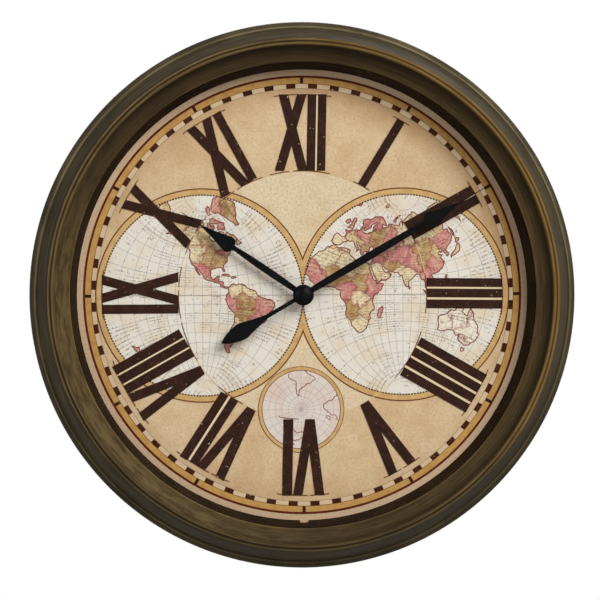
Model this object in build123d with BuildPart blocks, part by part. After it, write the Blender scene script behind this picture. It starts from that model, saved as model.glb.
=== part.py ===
from build123d import *
import os
from math import atan2, cos, degrees, hypot, pi, radians, sin, sqrt

# Battery wall clock, 508 mm across. Millimetres, +Z up, the front faces -Y.
# The origin is on the hand axis in the wall plane. A height h is the distance in front of the wall.

# Frame section, from the outside in
outer_d = 508.0
rim_roll_w = 4.4
rim_bead_w = 2.4
cone_w = 9.2
quirk_w = 0.4
reed_w = 3.6
cove_w = 13.4
lip_nose = 1.2
shell_t = 3.0
rim_roll_rise = 6.6
rim_roll_sag = 1.3
rim_bead_rise = 1.0
rim_bead_sag = 1.0
cone_rise = 15.4
quirk_rise = 1.0
reed_step = 1.5
reed_sag = 1.5
cove_rise = 8.0
cove_sag = 3.0
lip_t = 2.4

# Frame inside: bosses, ribs and the glass seat
glass_cover = 4.7
seat_gap = 0.3
board_screw_count = 8
board_screw_start = 22.5
boss_d = 9.0
boss_l = 23.0
boss_sink = 0.5
pilot_l = 15.0
rib_count = 12
rib_start = 15.0
rib_t = 2.0
rib_rear_gap = 1.4
rib_sink = 0.5

# Case band behind the frame
spigot_l = 4.4
spigot_t = 1.7
spigot_fit = 0.1
spigot_gap = 0.6
spigot_root = 4.0

# Glass, spacer ring and dial
glass_t = 3.0
dome_to_glass = 2.7
spacer_step = 0.3
spacer_slope_w = 5.1
spacer_wall = 2.3
spacer_flange_t = 2.0
notch_w = 8.0
notch_skin = 0.6
dial_h = 26.0
sheet_t = 0.4
board_t = 3.0
board_edge = 5.5

# Screws
screw_d = 3.4
screw_gap = 0.05
screw_head_d = 7.0
screw_head_t = 2.2
screw_bite = 11.0
recess_l = 4.0
recess_w = 0.9
recess_depth = 1.1
board_hole_gap = 0.3

# Keyhole hanger plate
hanger_w = 60.0
hanger_tall = 21.0
hanger_t = 1.2
hanger_set_in = 3.0
hanger_corner = 4.0
hanger_side_gap = 4.5
keyhole_d = 9.0
keyhole_slot_w = 4.6
keyhole_rise = 9.0
hanger_screw_pitch = 44.0
hanger_boss_end = 1.8
hanger_boss_floor = 1.5
hanger_rib_gap = 2.0

# Movement case
gasket_t = 1.0
case_depth = 17.0
case_wall = 1.5
case_side = 1.4
case_corner = 4.0
case_top = 27.0
case_seam = 8.6
train_drop = 10.4
bay_wall = 1.4
bay_gap = 0.45
bay_floor_gap = 0.6
bay_bottom = 1.8
bay_end_wall = 3.0
bush_d = 8.0
bush_proud = 1.2
post_d = 4.0
post_pin_d = 2.0
post_edge = 2.6
small_post_d = 2.8
small_pin_d = 1.4
pivot_boss_d = 3.0
pivot_boss_l = 2.1
pin_gap = 0.05

# Battery and contacts
battery_d = 14.5
battery_l = 50.5
nub_d = 5.5
nub_l = 1.0
contact_t = 0.4
contact_w = 9.0
contact_tall = 12.0
contact_gap = 0.35
contact_touch = 0.05
dimple_d = 4.0

# Gear train: teeth, centre distances and layers
cannon_teeth = 12
minute_wheel_teeth = 36
minute_pinion_teeth = 10
hour_teeth = 40
motion_cd = 10.0
seconds_pinion_teeth = 8
third_teeth = 60
third_pinion_teeth = 8
center_teeth = 64
third_cd = 9.0
inter_pinion_teeth = 10
seconds_teeth = 50
inter_cd = 9.2
inter_angle = 15.0
rotor_pinion_teeth = 8
inter_teeth = 48
rotor_cd = 6.16
tooth_share = 0.42
tip_share = 0.45
addendum = 0.75
dedendum = 1.15
wheel_t = 0.8
motion_t = 1.0
minute_wheel_t = 1.2
pinion_over = 0.2
train_plate_t = 0.8
train_plate_w = 42.0
train_plate_tall = 23.4
train_plate_z = 2.6
hour_end_gap = 0.4
layer_gap = 0.4
plate_gap = 0.3
center_drop = 1.4
third_drop = 1.0
magnet_d = 6.0
magnet_t = 2.0

# Arbors and tubes
fine_arbor_d = 1.0
rotor_arbor_d = 0.8
seconds_arbor_d = 1.2
knob_arbor_d = 2.4
arbor_end_gap = 0.7
minute_arbor_d = 3.2
minute_thread_d = 2.8
hour_tube_d = 5.2
run_gap = 0.05
press_gap = 0.02
seconds_pivot_in = 1.2

# Electrics
stator_t = 1.0
stator_ring_d = 10.0
stator_bore_d = 7.0
stator_relief_d = 4.0
leg_w = 3.0
left_leg_x = 11.5
right_leg_x = 25.0
coil_z = 19.0
coil_l = 9.6
bobbin_flange_t = 0.8
bobbin_flange = 8.0
bobbin_wall = 0.7
bobbin_gap = 0.1
winding_tall = 7.0
winding_corner = 1.0
circuit_w = 21.0
circuit_tall = 10.0
circuit_t = 1.0
circuit_x = -15.5
circuit_z = 20.0
circuit_lift = 1.9
circuit_post_pitch = 15.0
chip_d = 6.0
chip_t = 1.2
crystal_d = 2.0
crystal_l = 6.0
crystal_z_off = 3.0
crystal_x_off = -6.3

# Hands and what holds them
washer_d = 18.0
washer_t = 0.8
nut_across = 12.0
nut_t = 2.5
collet_lift = 0.5
collet_flange_d = 10.0
collet_flange_t = 1.4
collet_neck_d = 7.0
hand_t = 0.9
hand_space = 1.3
hub_d = 14.0
hour_len = 137.0
hour_angle = 304.5
hour_needle = 21.4
hour_rod_half = 2.1
hour_rod_sag = 1.2
minute_margin = 12.4
minute_angle = 59.8
minute_needle = 28.4
minute_rod_half = 2.5
minute_rod_sag = 1.1
spade_len = 37.3
spade_wide_at = 7.4
spade_half = 7.45
spade_lobe_sag = 2.0
spade_point_sag = 0.6
needle_half = 0.65
tip_half = 0.3
tail_len = 88.5
tail_rod_half = 1.9
leaf_at = 39.0
leaf_wide_at = 64.5
leaf_half = 7.9
leaf_inner_sag = 0.4
leaf_outer_sag = 2.0
hand_nut_d = 6.0
hand_nut_t = 2.0
thread_over = 0.1
dome_d = 19.5
dome_rise = 5.4
dome_edge = 0.8
dome_wall = 1.2
dome_tube_wall = 1.15

# Setting knob
knob_d = 14.0
knob_t = 2.6
knob_gap = 0.4
knob_flutes = 18
flute_d = 1.4

# Radii that follow from the frame section
outer_r = outer_d / 2
roll_r = outer_r - rim_roll_w
cone_r = roll_r - rim_bead_w
cone_top_r = cone_r - cone_w
bead_r = cone_top_r - quirk_w
reed_mid_r = bead_r - reed_w
bead_inner_r = reed_mid_r - reed_w
cove_r = bead_inner_r - cove_w
lip_r = cove_r - lip_nose
seat_r = lip_r + glass_cover
seat_wall_r = seat_r + shell_t
glass_r = seat_r - seat_gap
spacer_top_r = lip_r - spacer_step
spacer_dial_r = spacer_top_r - spacer_slope_w
board_screw_r = seat_wall_r + boss_d / 2 - boss_sink
board_r = board_screw_r + board_edge
minute_len = spacer_dial_r - minute_margin

# Heights that follow from the dial, backwards and forwards
board_front_h = dial_h - sheet_t
board_rear_h = board_front_h - board_t
case_front_h = board_rear_h - gasket_t
case_rear_h = case_front_h - case_depth
case_seam_h = case_front_h - case_seam
inner_front_h = case_front_h - case_wall
inner_rear_h = case_rear_h + case_wall
bush_h = dial_h + washer_t + nut_t + bush_proud
hour_collet_h = bush_h + collet_lift
hour_hand_h = hour_collet_h + collet_flange_t
hour_top_h = hour_hand_h + hand_t
minute_collet_h = hour_top_h + hand_space
minute_hand_h = minute_collet_h + collet_flange_t
minute_top_h = minute_hand_h + hand_t
dome_top_h = minute_top_h + dome_rise
glass_h = dome_top_h + dome_to_glass
glass_front_h = glass_h + glass_t
lip_h = glass_front_h + lip_t
bead_h = lip_h + cove_rise
cone_top_h = bead_h - reed_step - quirk_rise
cone_h = cone_top_h - cone_rise
roll_h = cone_h - rim_bead_rise
side_h = roll_h - rim_roll_rise
spigot_h = board_front_h + rib_rear_gap - spigot_gap
band_h = spigot_h - spigot_l

# Layers of the train
hour_wheel_h = inner_front_h - hour_end_gap - motion_t
minute_wheel_h = hour_wheel_h - layer_gap - minute_wheel_t
train_plate_h = minute_wheel_h - plate_gap - train_plate_t
center_h = train_plate_h - layer_gap - motion_t
third_h = center_h - center_drop - wheel_t
seconds_h = third_h - third_drop - wheel_t
magnet_h = seconds_h + wheel_t - magnet_t
stator_h = magnet_h + (magnet_t - stator_t) / 2
arbor_rear_h = inner_rear_h + arbor_end_gap
knob_h = case_rear_h - knob_gap - knob_t

# Plan of the movement
battery_z = -(train_drop + bay_wall + bay_gap + battery_d / 2)
bay_top = battery_z + battery_d / 2 + bay_gap
bay_low = battery_z - battery_d / 2 - bay_gap
case_low = bay_low - bay_bottom
bay_half = battery_l / 2 + contact_gap + contact_t
case_half = bay_half + bay_end_wall
case_mid_z = (case_top + case_low) / 2
battery_h = inner_front_h - bay_floor_gap - battery_d / 2
third_x = -third_cd
inter_x = inter_cd * cos(radians(inter_angle))
inter_z = inter_cd * sin(radians(inter_angle))
rotor_x = inter_x + rotor_cd
rotor_z = inter_z
knob_z = motion_cd
post_x = train_plate_w / 2 - post_edge
post_low = train_plate_z - train_plate_tall / 2 + post_edge
post_high = train_plate_z + train_plate_tall / 2 - post_edge
plate_posts = [(-post_x, post_low), (-post_x, post_high), (post_x, post_low), (post_x, post_high)]

# Modules follow from the centre distances
cannon_module = 2 * motion_cd / (cannon_teeth + minute_wheel_teeth)
hour_module = 2 * motion_cd / (minute_pinion_teeth + hour_teeth)
third_module = 2 * third_cd / (seconds_pinion_teeth + third_teeth)
center_module = 2 * third_cd / (third_pinion_teeth + center_teeth)
seconds_module = 2 * inter_cd / (inter_pinion_teeth + seconds_teeth)
inter_module = 2 * rotor_cd / (rotor_pinion_teeth + inter_teeth)

os.makedirs("parts", exist_ok=True)


# A plane parallel to the dial at height h, turned clockwise as seen from the front; local y is up.
def front_plane(h, x=0.0, z=0.0, turn=0.0):
    a = radians(turn)
    return Plane(origin=(x, -h, z), x_dir=(cos(a), 0, -sin(a)), z_dir=(0, -1, 0))


# A plane that holds the axis through (x, z); local x is the radius and local y the height h.
def section_plane(x=0.0, z=0.0, angle=0.0):
    a = radians(angle)
    return Plane(origin=(x, 0, z), x_dir=(cos(a), 0, sin(a)), z_dir=(sin(a), 0, -cos(a)))


# A plane across the X axis at (x, h, z); local x points up.
def end_plane(x, h, z):
    return Plane(origin=(x, -h, z), x_dir=(0, 0, 1), z_dir=(1, 0, 0))


def disc(h0, h1, r, x=0.0, z=0.0, mode=Mode.ADD):
    with BuildSketch(front_plane(h0, x, z)) as face:
        Circle(r)
    extrude(face.sketch, amount=h1 - h0, mode=mode)


def block(x0, x1, z0, z1, h0, h1, mode=Mode.ADD):
    with BuildSketch(front_plane(h0, (x0 + x1) / 2, (z0 + z1) / 2)) as face:
        Rectangle(x1 - x0, z1 - z0)
    extrude(face.sketch, amount=h1 - h0, mode=mode)


def rounded_block(width, tall, corner, h0, h1, z=0.0):
    with BuildSketch(front_plane(h0, 0.0, z)) as face:
        RectangleRounded(width, tall, corner)
    extrude(face.sketch, amount=h1 - h0)


# A pan-head screw driven from the rear, with a cross recess; h is the plane under its head.
def pan_screw(x, z, h, length):
    disc(h - screw_head_t, h, screw_head_d / 2, x, z)
    disc(h, h + length, screw_d / 2, x, z)
    rear = h - screw_head_t
    long = recess_l / 2
    thin = recess_w / 2
    block(x - long, x + long, z - thin, z + thin, rear, rear + recess_depth, Mode.SUBTRACT)
    block(x - thin, x + thin, z - long, z + long, rear, rear + recess_depth, Mode.SUBTRACT)


# Tooth outline with radial flanks below the pitch circle and tapered tips above it.
def tooth_points(teeth, module, phase):
    pitch_r = module * teeth / 2
    root_r = pitch_r - dedendum * module
    tip_r = pitch_r + addendum * module
    half = tooth_share * pi / teeth
    tip_half_angle = half * tip_share
    flank = [
        (root_r, -half),
        (pitch_r, -half),
        (tip_r, -tip_half_angle),
        (tip_r, tip_half_angle),
        (pitch_r, half),
        (root_r, half),
    ]
    points = []
    for k in range(teeth):
        middle = phase + 2 * pi * k / teeth
        for r, a in flank:
            points.append((r * cos(middle + a), r * sin(middle + a)))
    return points


def toothed(teeth, module, h0, h1, x, z, phase):
    with BuildSketch(front_plane(h0, x, z)) as face:
        with BuildLine():
            Polyline(*tooth_points(teeth, module, phase), close=True)
        make_face()
    extrude(face.sketch, amount=h1 - h0)


# The phase at which gear B meshes with gear A, whose centre looks at B's along angle line.
def mesh_phase(teeth_a, teeth_b, phase_a, line):
    return line + pi - (teeth_a / teeth_b) * (phase_a - line) - pi / teeth_b


# Both sides of a spade-and-needle hand, drawn along local y.
def spade_hand(length, needle, rod_half, rod_sag):
    base = length - needle - spade_len
    wide = base + spade_wide_at
    point = base + spade_len
    with BuildLine() as outline:
        Line((0, 0), (rod_half, 0))
        SagittaArc((rod_half, 0), (rod_half, base), -rod_sag)
        SagittaArc((rod_half, base), (spade_half, wide), -spade_lobe_sag)
        SagittaArc((spade_half, wide), (needle_half, point), spade_point_sag)
        Line((needle_half, point), (tip_half, length))
        Line((tip_half, length), (0, length))
        mirror(about=Plane.YZ)
    make_face(outline.edges())


# The leaf-shaped counterweight tail, drawn along negative local y.
def leaf_tail():
    with BuildLine() as outline:
        Line((0, 0), (tail_rod_half, 0))
        Line((tail_rod_half, 0), (tail_rod_half, -leaf_at))
        SagittaArc((tail_rod_half, -leaf_at), (leaf_half, -leaf_wide_at), -leaf_inner_sag)
        SagittaArc((leaf_half, -leaf_wide_at), (tip_half, -tail_len), leaf_outer_sag)
        Line((tip_half, -tail_len), (0, -tail_len))
        mirror(about=Plane.YZ)
    make_face(outline.edges())


# Frame: a hollow moulded ring, open at the back
cone_slope = hypot(cone_w, cone_rise)
under_r = shell_t * cone_rise / cone_slope
under_h = shell_t * cone_w / cone_slope
bead_under_h = cone_top_h - under_h
seat_under_h = glass_front_h + lip_t - shell_t
cavity = [
    (seat_wall_r, seat_under_h),
    (reed_mid_r - under_h, bead_under_h),
    (cone_top_r - under_r, bead_under_h),
    (cone_r - under_r, cone_h - under_h),
    (roll_r - under_h, roll_h - shell_t),
    (outer_r - shell_t, side_h),
]
hanger_z = outer_r - shell_t - hanger_side_gap - hanger_tall / 2
keyhole_z = hanger_z - keyhole_rise / 3
hanger_front_h = hanger_set_in + hanger_t
hanger_screw_x = hanger_screw_pitch / 2
hanger_screw_z = hanger_z + keyhole_rise / 3
hanger_boss_angle = degrees(atan2(hanger_screw_z, hanger_screw_x))
hanger_boss_r = hypot(hanger_screw_x, hanger_screw_z)

with BuildPart() as frame:
    with BuildSketch(section_plane()):
        with BuildLine():
            Line((outer_r, band_h), (outer_r, side_h))
            SagittaArc((outer_r, side_h), (roll_r, roll_h), -rim_roll_sag)
            SagittaArc((roll_r, roll_h), (cone_r, cone_h), -rim_bead_sag)
            Line((cone_r, cone_h), (cone_top_r, cone_top_h))
            Line((cone_top_r, cone_top_h), (bead_r, cone_top_h + quirk_rise))
            SagittaArc((bead_r, cone_top_h + quirk_rise), (reed_mid_r, bead_h), -reed_sag)
            SagittaArc((reed_mid_r, bead_h), (bead_inner_r, bead_h), -reed_sag)
            SagittaArc((bead_inner_r, bead_h), (cove_r, lip_h), cove_sag)
            SagittaArc((cove_r, lip_h), (cove_r, glass_front_h), -lip_nose)
            Polyline(
                (cove_r, glass_front_h),
                (seat_r, glass_front_h),
                (seat_r, board_front_h),
                (seat_wall_r, board_front_h),
                *cavity,
                (outer_r - shell_t, band_h),
                (outer_r, band_h),
            )
        make_face()
    revolve(axis=Axis.Y)
    with BuildSketch(front_plane(board_front_h)):
        with PolarLocations(board_screw_r, board_screw_count, start_angle=board_screw_start):
            Circle(boss_d / 2)
    extrude(amount=boss_l)
    for k in range(rib_count):
        with BuildSketch(section_plane(angle=rib_start + 360 * k / rib_count)):
            with BuildLine():
                Polyline(
                    (seat_wall_r - rib_sink, board_front_h + rib_rear_gap),
                    (outer_r - shell_t + rib_sink, board_front_h + rib_rear_gap),
                    (outer_r - shell_t + rib_sink, side_h),
                    (roll_r - under_h, roll_h - shell_t + rib_sink),
                    (cone_r - under_r, cone_h - under_h + rib_sink),
                    (cone_top_r - under_r, bead_under_h + rib_sink),
                    (reed_mid_r - under_h, bead_under_h + rib_sink),
                    (seat_wall_r - rib_sink, seat_under_h),
                    close=True,
                )
            make_face()
        extrude(amount=rib_t / 2, both=True)
    with BuildSketch(front_plane(board_front_h)):
        with PolarLocations(board_screw_r, board_screw_count, start_angle=board_screw_start):
            Circle(screw_d / 2 + screw_gap)
    extrude(amount=pilot_l, mode=Mode.SUBTRACT)
frame.part.label = "frame"
export_step(frame.part, "parts/frame.step")

# Case band: the wall behind the frame, with a spigot that fits inside the frame and the hanger bosses
spigot_r = outer_r - shell_t - spigot_fit
hanger_boss_h = band_h - hanger_boss_end
with BuildPart() as case_band:
    with BuildSketch(section_plane()):
        with BuildLine():
            Polyline(
                (outer_r, 0),
                (outer_r, band_h),
                (spigot_r, band_h),
                (spigot_r, spigot_h),
                (spigot_r - spigot_t, spigot_h),
                (spigot_r - spigot_t, band_h - spigot_root),
                (outer_r - shell_t, band_h - spigot_root - spigot_t),
                (outer_r - shell_t, 0),
                close=True,
            )
        make_face()
    revolve(axis=Axis.Y)
    with BuildSketch(front_plane(hanger_front_h)):
        with Locations((-hanger_screw_x, hanger_screw_z), (hanger_screw_x, hanger_screw_z)):
            Circle(boss_d / 2)
    extrude(amount=hanger_boss_h - hanger_front_h)
    for angle in (hanger_boss_angle, 180 - hanger_boss_angle):
        with BuildSketch(section_plane(angle=angle)):
            with BuildLine():
                Polyline(
                    (hanger_boss_r, hanger_front_h + hanger_rib_gap),
                    (outer_r - shell_t + rib_sink, hanger_front_h + hanger_rib_gap),
                    (outer_r - shell_t + rib_sink, hanger_boss_h),
                    (hanger_boss_r, hanger_boss_h),
                    close=True,
                )
            make_face()
        extrude(amount=rib_t / 2, both=True)
    with BuildSketch(front_plane(hanger_front_h)):
        with Locations((-hanger_screw_x, hanger_screw_z), (hanger_screw_x, hanger_screw_z)):
            Circle(screw_d / 2 + screw_gap)
    extrude(amount=hanger_boss_h - hanger_boss_floor - hanger_front_h, mode=Mode.SUBTRACT)
case_band.part.label = "case_band"
export_step(case_band.part, "parts/case_band.step")

# Glass
with BuildPart() as glass:
    disc(glass_h, glass_front_h, glass_r)
glass.part.label = "glass"
export_step(glass.part, "parts/glass.step")

# Spacer ring: a channel section whose sloping face shows between glass and dial
spacer_inner_h = dial_h + spacer_flange_t
spacer_slope = spacer_slope_w / (glass_h - dial_h)
notch_depth = spacer_wall + spacer_slope * spacer_flange_t - notch_skin
with BuildPart() as spacer_ring:
    with BuildSketch(section_plane()):
        with BuildLine():
            Polyline(
                (spacer_dial_r, dial_h),
                (glass_r, dial_h),
                (glass_r, spacer_inner_h),
                (spacer_dial_r + spacer_slope * spacer_flange_t + spacer_wall, spacer_inner_h),
                (spacer_top_r - spacer_slope * spacer_flange_t + spacer_wall, glass_h - spacer_flange_t),
                (glass_r, glass_h - spacer_flange_t),
                (glass_r, glass_h),
                (spacer_top_r, glass_h),
                close=True,
            )
        make_face()
    revolve(axis=Axis.Y)
    block(
        -notch_w / 2,
        notch_w / 2,
        -(spacer_dial_r + notch_depth),
        -spacer_dial_r + notch_depth,
        dial_h,
        dial_h + notch_depth / spacer_slope,
        Mode.SUBTRACT,
    )
spacer_ring.part.label = "spacer_ring"
export_step(spacer_ring.part, "parts/spacer_ring.step")

# Dial: printed sheet on a hardboard disc
bush_hole_r = bush_d / 2 + board_hole_gap
with BuildPart() as dial_sheet:
    disc(board_front_h, dial_h, glass_r)
    disc(board_front_h, dial_h, bush_hole_r, mode=Mode.SUBTRACT)
dial_sheet.part.label = "dial_sheet"
export_step(dial_sheet.part, "parts/dial_sheet.step")

with BuildPart() as dial_board:
    disc(board_rear_h, board_front_h, board_r)
    disc(board_rear_h, board_front_h, bush_hole_r, mode=Mode.SUBTRACT)
    with BuildSketch(front_plane(board_rear_h)):
        with PolarLocations(board_screw_r, board_screw_count, start_angle=board_screw_start):
            Circle(screw_d / 2 + board_hole_gap)
    extrude(amount=board_t, mode=Mode.SUBTRACT)
dial_board.part.label = "dial_board"
export_step(dial_board.part, "parts/dial_board.step")

with BuildPart() as board_screws:
    for k in range(board_screw_count):
        angle = radians(board_screw_start + 360 * k / board_screw_count)
        x = board_screw_r * cos(angle)
        z = board_screw_r * sin(angle)
        pan_screw(x, z, board_rear_h, board_t + screw_bite)
board_screws.part.label = "board_screws"
export_step(board_screws.part, "parts/board_screws.step")

# Hanger plate across the top of the case band, with its keyhole
with BuildPart() as hanger_plate:
    rounded_block(hanger_w, hanger_tall, hanger_corner, hanger_set_in, hanger_front_h, hanger_z)
    disc(hanger_set_in, hanger_front_h, keyhole_d / 2, 0, keyhole_z, Mode.SUBTRACT)
    slot_half = keyhole_slot_w / 2
    slot_z = keyhole_z + keyhole_rise
    block(-slot_half, slot_half, keyhole_z, slot_z, hanger_set_in, hanger_front_h, Mode.SUBTRACT)
    disc(hanger_set_in, hanger_front_h, slot_half, 0, slot_z, Mode.SUBTRACT)
    for side in (-1, 1):
        hole_x = side * hanger_screw_x
        hole_r = screw_d / 2 + board_hole_gap
        disc(hanger_set_in, hanger_front_h, hole_r, hole_x, hanger_screw_z, Mode.SUBTRACT)
hanger_plate.part.label = "hanger_plate"
export_step(hanger_plate.part, "parts/hanger_plate.step")

with BuildPart() as hanger_screws:
    for side in (-1, 1):
        pan_screw(side * hanger_screw_x, hanger_screw_z, hanger_set_in, hanger_t + screw_bite)
hanger_screws.part.label = "hanger_screws"
export_step(hanger_screws.part, "parts/hanger_screws.step")

# What clamps the movement to the dial
with BuildPart() as rubber_gasket:
    rounded_block(2 * case_half, case_top - case_low, case_corner, case_front_h, board_rear_h, case_mid_z)
    disc(case_front_h, board_rear_h, bush_hole_r, mode=Mode.SUBTRACT)
rubber_gasket.part.label = "rubber_gasket"
export_step(rubber_gasket.part, "parts/rubber_gasket.step")

with BuildPart() as mounting_washer:
    disc(dial_h, dial_h + washer_t, washer_d / 2)
    disc(dial_h, dial_h + washer_t, bush_hole_r, mode=Mode.SUBTRACT)
mounting_washer.part.label = "mounting_washer"
export_step(mounting_washer.part, "parts/mounting_washer.step")

with BuildPart() as mounting_nut:
    with BuildSketch(front_plane(dial_h + washer_t)):
        RegularPolygon(nut_across / 2, 6, major_radius=False)
        Circle(bush_d / 2 + run_gap, mode=Mode.SUBTRACT)
    extrude(amount=nut_t)
mounting_nut.part.label = "mounting_nut"
export_step(mounting_nut.part, "parts/mounting_nut.step")

# Movement case, front half: plate, side walls and the bush
case_w = 2 * case_half
case_tall = case_top - case_low
cavity_half = case_half - case_side
cavity_top = case_top - case_side
with BuildPart() as movement_front_case:
    rounded_block(case_w, case_tall, case_corner, case_seam_h, case_front_h, case_mid_z)
    block(-cavity_half, cavity_half, -train_drop, cavity_top, case_seam_h, inner_front_h, Mode.SUBTRACT)
    block(-bay_half, bay_half, bay_low, -train_drop, case_seam_h, inner_front_h, Mode.SUBTRACT)
    disc(inner_front_h, bush_h, bush_d / 2)
    disc(inner_front_h, bush_h, hour_tube_d / 2 + run_gap, mode=Mode.SUBTRACT)
    pivot_top_h = inner_front_h + case_wall / 2
    disc(inner_front_h, pivot_top_h, seconds_arbor_d / 2 + run_gap, 0, knob_z, Mode.SUBTRACT)
movement_front_case.part.label = "movement_front_case"
export_step(movement_front_case.part, "parts/movement_front_case.step")

# Movement case, rear half: plate with the open battery bay, posts and pivot bosses
pivots = [
    (0.0, 0.0, seconds_arbor_d),
    (third_x, 0.0, fine_arbor_d),
    (inter_x, inter_z, fine_arbor_d),
    (rotor_x, rotor_z, rotor_arbor_d),
]
stator_pins = [(left_leg_x, coil_z), (right_leg_x, coil_z)]
circuit_pins = [
    (circuit_x - circuit_post_pitch / 2, circuit_z),
    (circuit_x + circuit_post_pitch / 2, circuit_z),
]
circuit_h = inner_rear_h + circuit_lift
core_h = stator_h + stator_t
with BuildPart() as movement_rear_case:
    rounded_block(case_w, case_tall, case_corner, case_rear_h, case_seam_h, case_mid_z)
    block(-cavity_half, cavity_half, -train_drop, cavity_top, inner_rear_h, case_seam_h, Mode.SUBTRACT)
    block(-bay_half, bay_half, bay_low, bay_top, case_rear_h, case_seam_h, Mode.SUBTRACT)
    wall_half = bay_half - run_gap
    block(-wall_half, wall_half, bay_top, -train_drop, case_seam_h - case_wall, inner_front_h - run_gap)
    for x, z in plate_posts:
        disc(inner_rear_h - rib_sink, train_plate_h, post_d / 2, x, z)
        disc(train_plate_h, train_plate_h + train_plate_t, post_pin_d / 2, x, z)
    for x, z in stator_pins:
        disc(inner_rear_h - rib_sink, stator_h, small_post_d / 2, x, z)
        disc(stator_h, core_h + stator_t, small_pin_d / 2, x, z)
    for x, z in circuit_pins:
        disc(inner_rear_h - rib_sink, circuit_h, small_post_d / 2, x, z)
        disc(circuit_h, circuit_h + circuit_t, small_pin_d / 2, x, z)
    for x, z, d in pivots:
        disc(inner_rear_h - rib_sink, inner_rear_h + pivot_boss_l, pivot_boss_d / 2, x, z)
        disc(inner_rear_h, inner_rear_h + pivot_boss_l, d / 2 + run_gap, x, z, Mode.SUBTRACT)
    disc(case_rear_h, inner_rear_h, knob_arbor_d / 2 + run_gap, 0, knob_z, Mode.SUBTRACT)
movement_rear_case.part.label = "movement_rear_case"
export_step(movement_rear_case.part, "parts/movement_rear_case.step")

# Train plate between the going train and the motion works
with BuildPart() as train_plate:
    top_h = train_plate_h + train_plate_t
    with BuildSketch(front_plane(train_plate_h, 0, train_plate_z)):
        RectangleRounded(train_plate_w, train_plate_tall, post_d / 2)
    extrude(amount=train_plate_t)
    for x, z in plate_posts:
        disc(train_plate_h, top_h, post_pin_d / 2 + pin_gap, x, z, Mode.SUBTRACT)
    for x, z, d in pivots[1:]:
        disc(train_plate_h, top_h, d / 2 + run_gap, x, z, Mode.SUBTRACT)
    disc(train_plate_h, top_h, minute_arbor_d / 2 + run_gap, mode=Mode.SUBTRACT)
    disc(train_plate_h, top_h, knob_arbor_d / 2 + run_gap, 0, knob_z, Mode.SUBTRACT)
train_plate.part.label = "train_plate"
export_step(train_plate.part, "parts/train_plate.step")

# Battery and its two contacts
with BuildPart() as battery:
    with BuildSketch(end_plane(-battery_l / 2, battery_h, battery_z)):
        Circle(battery_d / 2)
    extrude(amount=battery_l - nub_l)
    with BuildSketch(end_plane(battery_l / 2 - nub_l, battery_h, battery_z)):
        Circle(nub_d / 2)
    extrude(amount=nub_l)
battery.part.label = "battery"
export_step(battery.part, "parts/battery.step")

contact_z0 = battery_z - contact_w / 2
contact_z1 = battery_z + contact_w / 2
contact_h0 = battery_h - contact_tall / 2
contact_h1 = battery_h + contact_tall / 2
dimple_l = contact_gap - contact_touch
with BuildPart() as contact_positive:
    block(bay_half - contact_t, bay_half, contact_z0, contact_z1, contact_h0, contact_h1)
    with BuildSketch(end_plane(bay_half - contact_t, battery_h, battery_z)):
        Circle(dimple_d / 2)
    extrude(amount=-dimple_l)
contact_positive.part.label = "contact_positive"
export_step(contact_positive.part, "parts/contact_positive.step")

with BuildPart() as contact_negative:
    block(-bay_half, contact_t - bay_half, contact_z0, contact_z1, contact_h0, contact_h1)
    with BuildSketch(end_plane(contact_t - bay_half, battery_h, battery_z)):
        Circle(dimple_d / 2)
    extrude(amount=dimple_l)
contact_negative.part.label = "contact_negative"
export_step(contact_negative.part, "parts/contact_negative.step")

# Circuit board with its potted chip, and the quartz crystal lying on it
with BuildPart() as circuit_board:
    x0 = circuit_x - circuit_w / 2
    z0 = circuit_z - circuit_tall / 2
    block(x0, x0 + circuit_w, z0, z0 + circuit_tall, circuit_h, circuit_h + circuit_t)
    disc(circuit_h + circuit_t, circuit_h + circuit_t + chip_t, chip_d / 2, circuit_x, circuit_z)
    for x, z in circuit_pins:
        disc(circuit_h, circuit_h + circuit_t, small_pin_d / 2 + pin_gap, x, z, Mode.SUBTRACT)
circuit_board.part.label = "circuit_board"
export_step(circuit_board.part, "parts/circuit_board.step")

with BuildPart() as quartz_crystal:
    crystal_h = circuit_h + circuit_t + crystal_d / 2 + press_gap
    crystal_x = circuit_x + crystal_x_off
    with BuildSketch(end_plane(crystal_x - crystal_l / 2, crystal_h, circuit_z + crystal_z_off)):
        Circle(crystal_d / 2)
    extrude(amount=crystal_l)
quartz_crystal.part.label = "quartz_crystal"
export_step(quartz_crystal.part, "parts/quartz_crystal.step")

# Stepping motor: stator, core, bobbin, winding and rotor
half_leg = leg_w / 2
with BuildPart() as stator:
    disc(stator_h, core_h, stator_ring_d / 2, rotor_x, rotor_z)
    leg_top = coil_z + half_leg
    leg_low = rotor_z - leg_w
    block(left_leg_x - half_leg, left_leg_x + half_leg, rotor_z, leg_top, stator_h, core_h)
    block(right_leg_x - half_leg, right_leg_x + half_leg, leg_low, leg_top, stator_h, core_h)
    block(rotor_x, right_leg_x, leg_low, rotor_z + leg_w, stator_h, core_h)
    disc(stator_h, core_h, stator_bore_d / 2, rotor_x, rotor_z, Mode.SUBTRACT)
    disc(stator_h, core_h, stator_relief_d / 2, inter_x, inter_z, Mode.SUBTRACT)
    for x, z in stator_pins:
        disc(stator_h, core_h, small_pin_d / 2 + pin_gap, x, z, Mode.SUBTRACT)
stator.part.label = "stator"
export_step(stator.part, "parts/stator.step")

with BuildPart() as coil_core:
    core_x0 = left_leg_x - half_leg
    core_x1 = right_leg_x + half_leg
    block(core_x0, core_x1, coil_z - half_leg, coil_z + half_leg, core_h, core_h + stator_t)
    for x, z in stator_pins:
        disc(core_h, core_h + stator_t, small_pin_d / 2 + pin_gap, x, z, Mode.SUBTRACT)
coil_core.part.label = "coil_core"
export_step(coil_core.part, "parts/coil_core.step")

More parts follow.
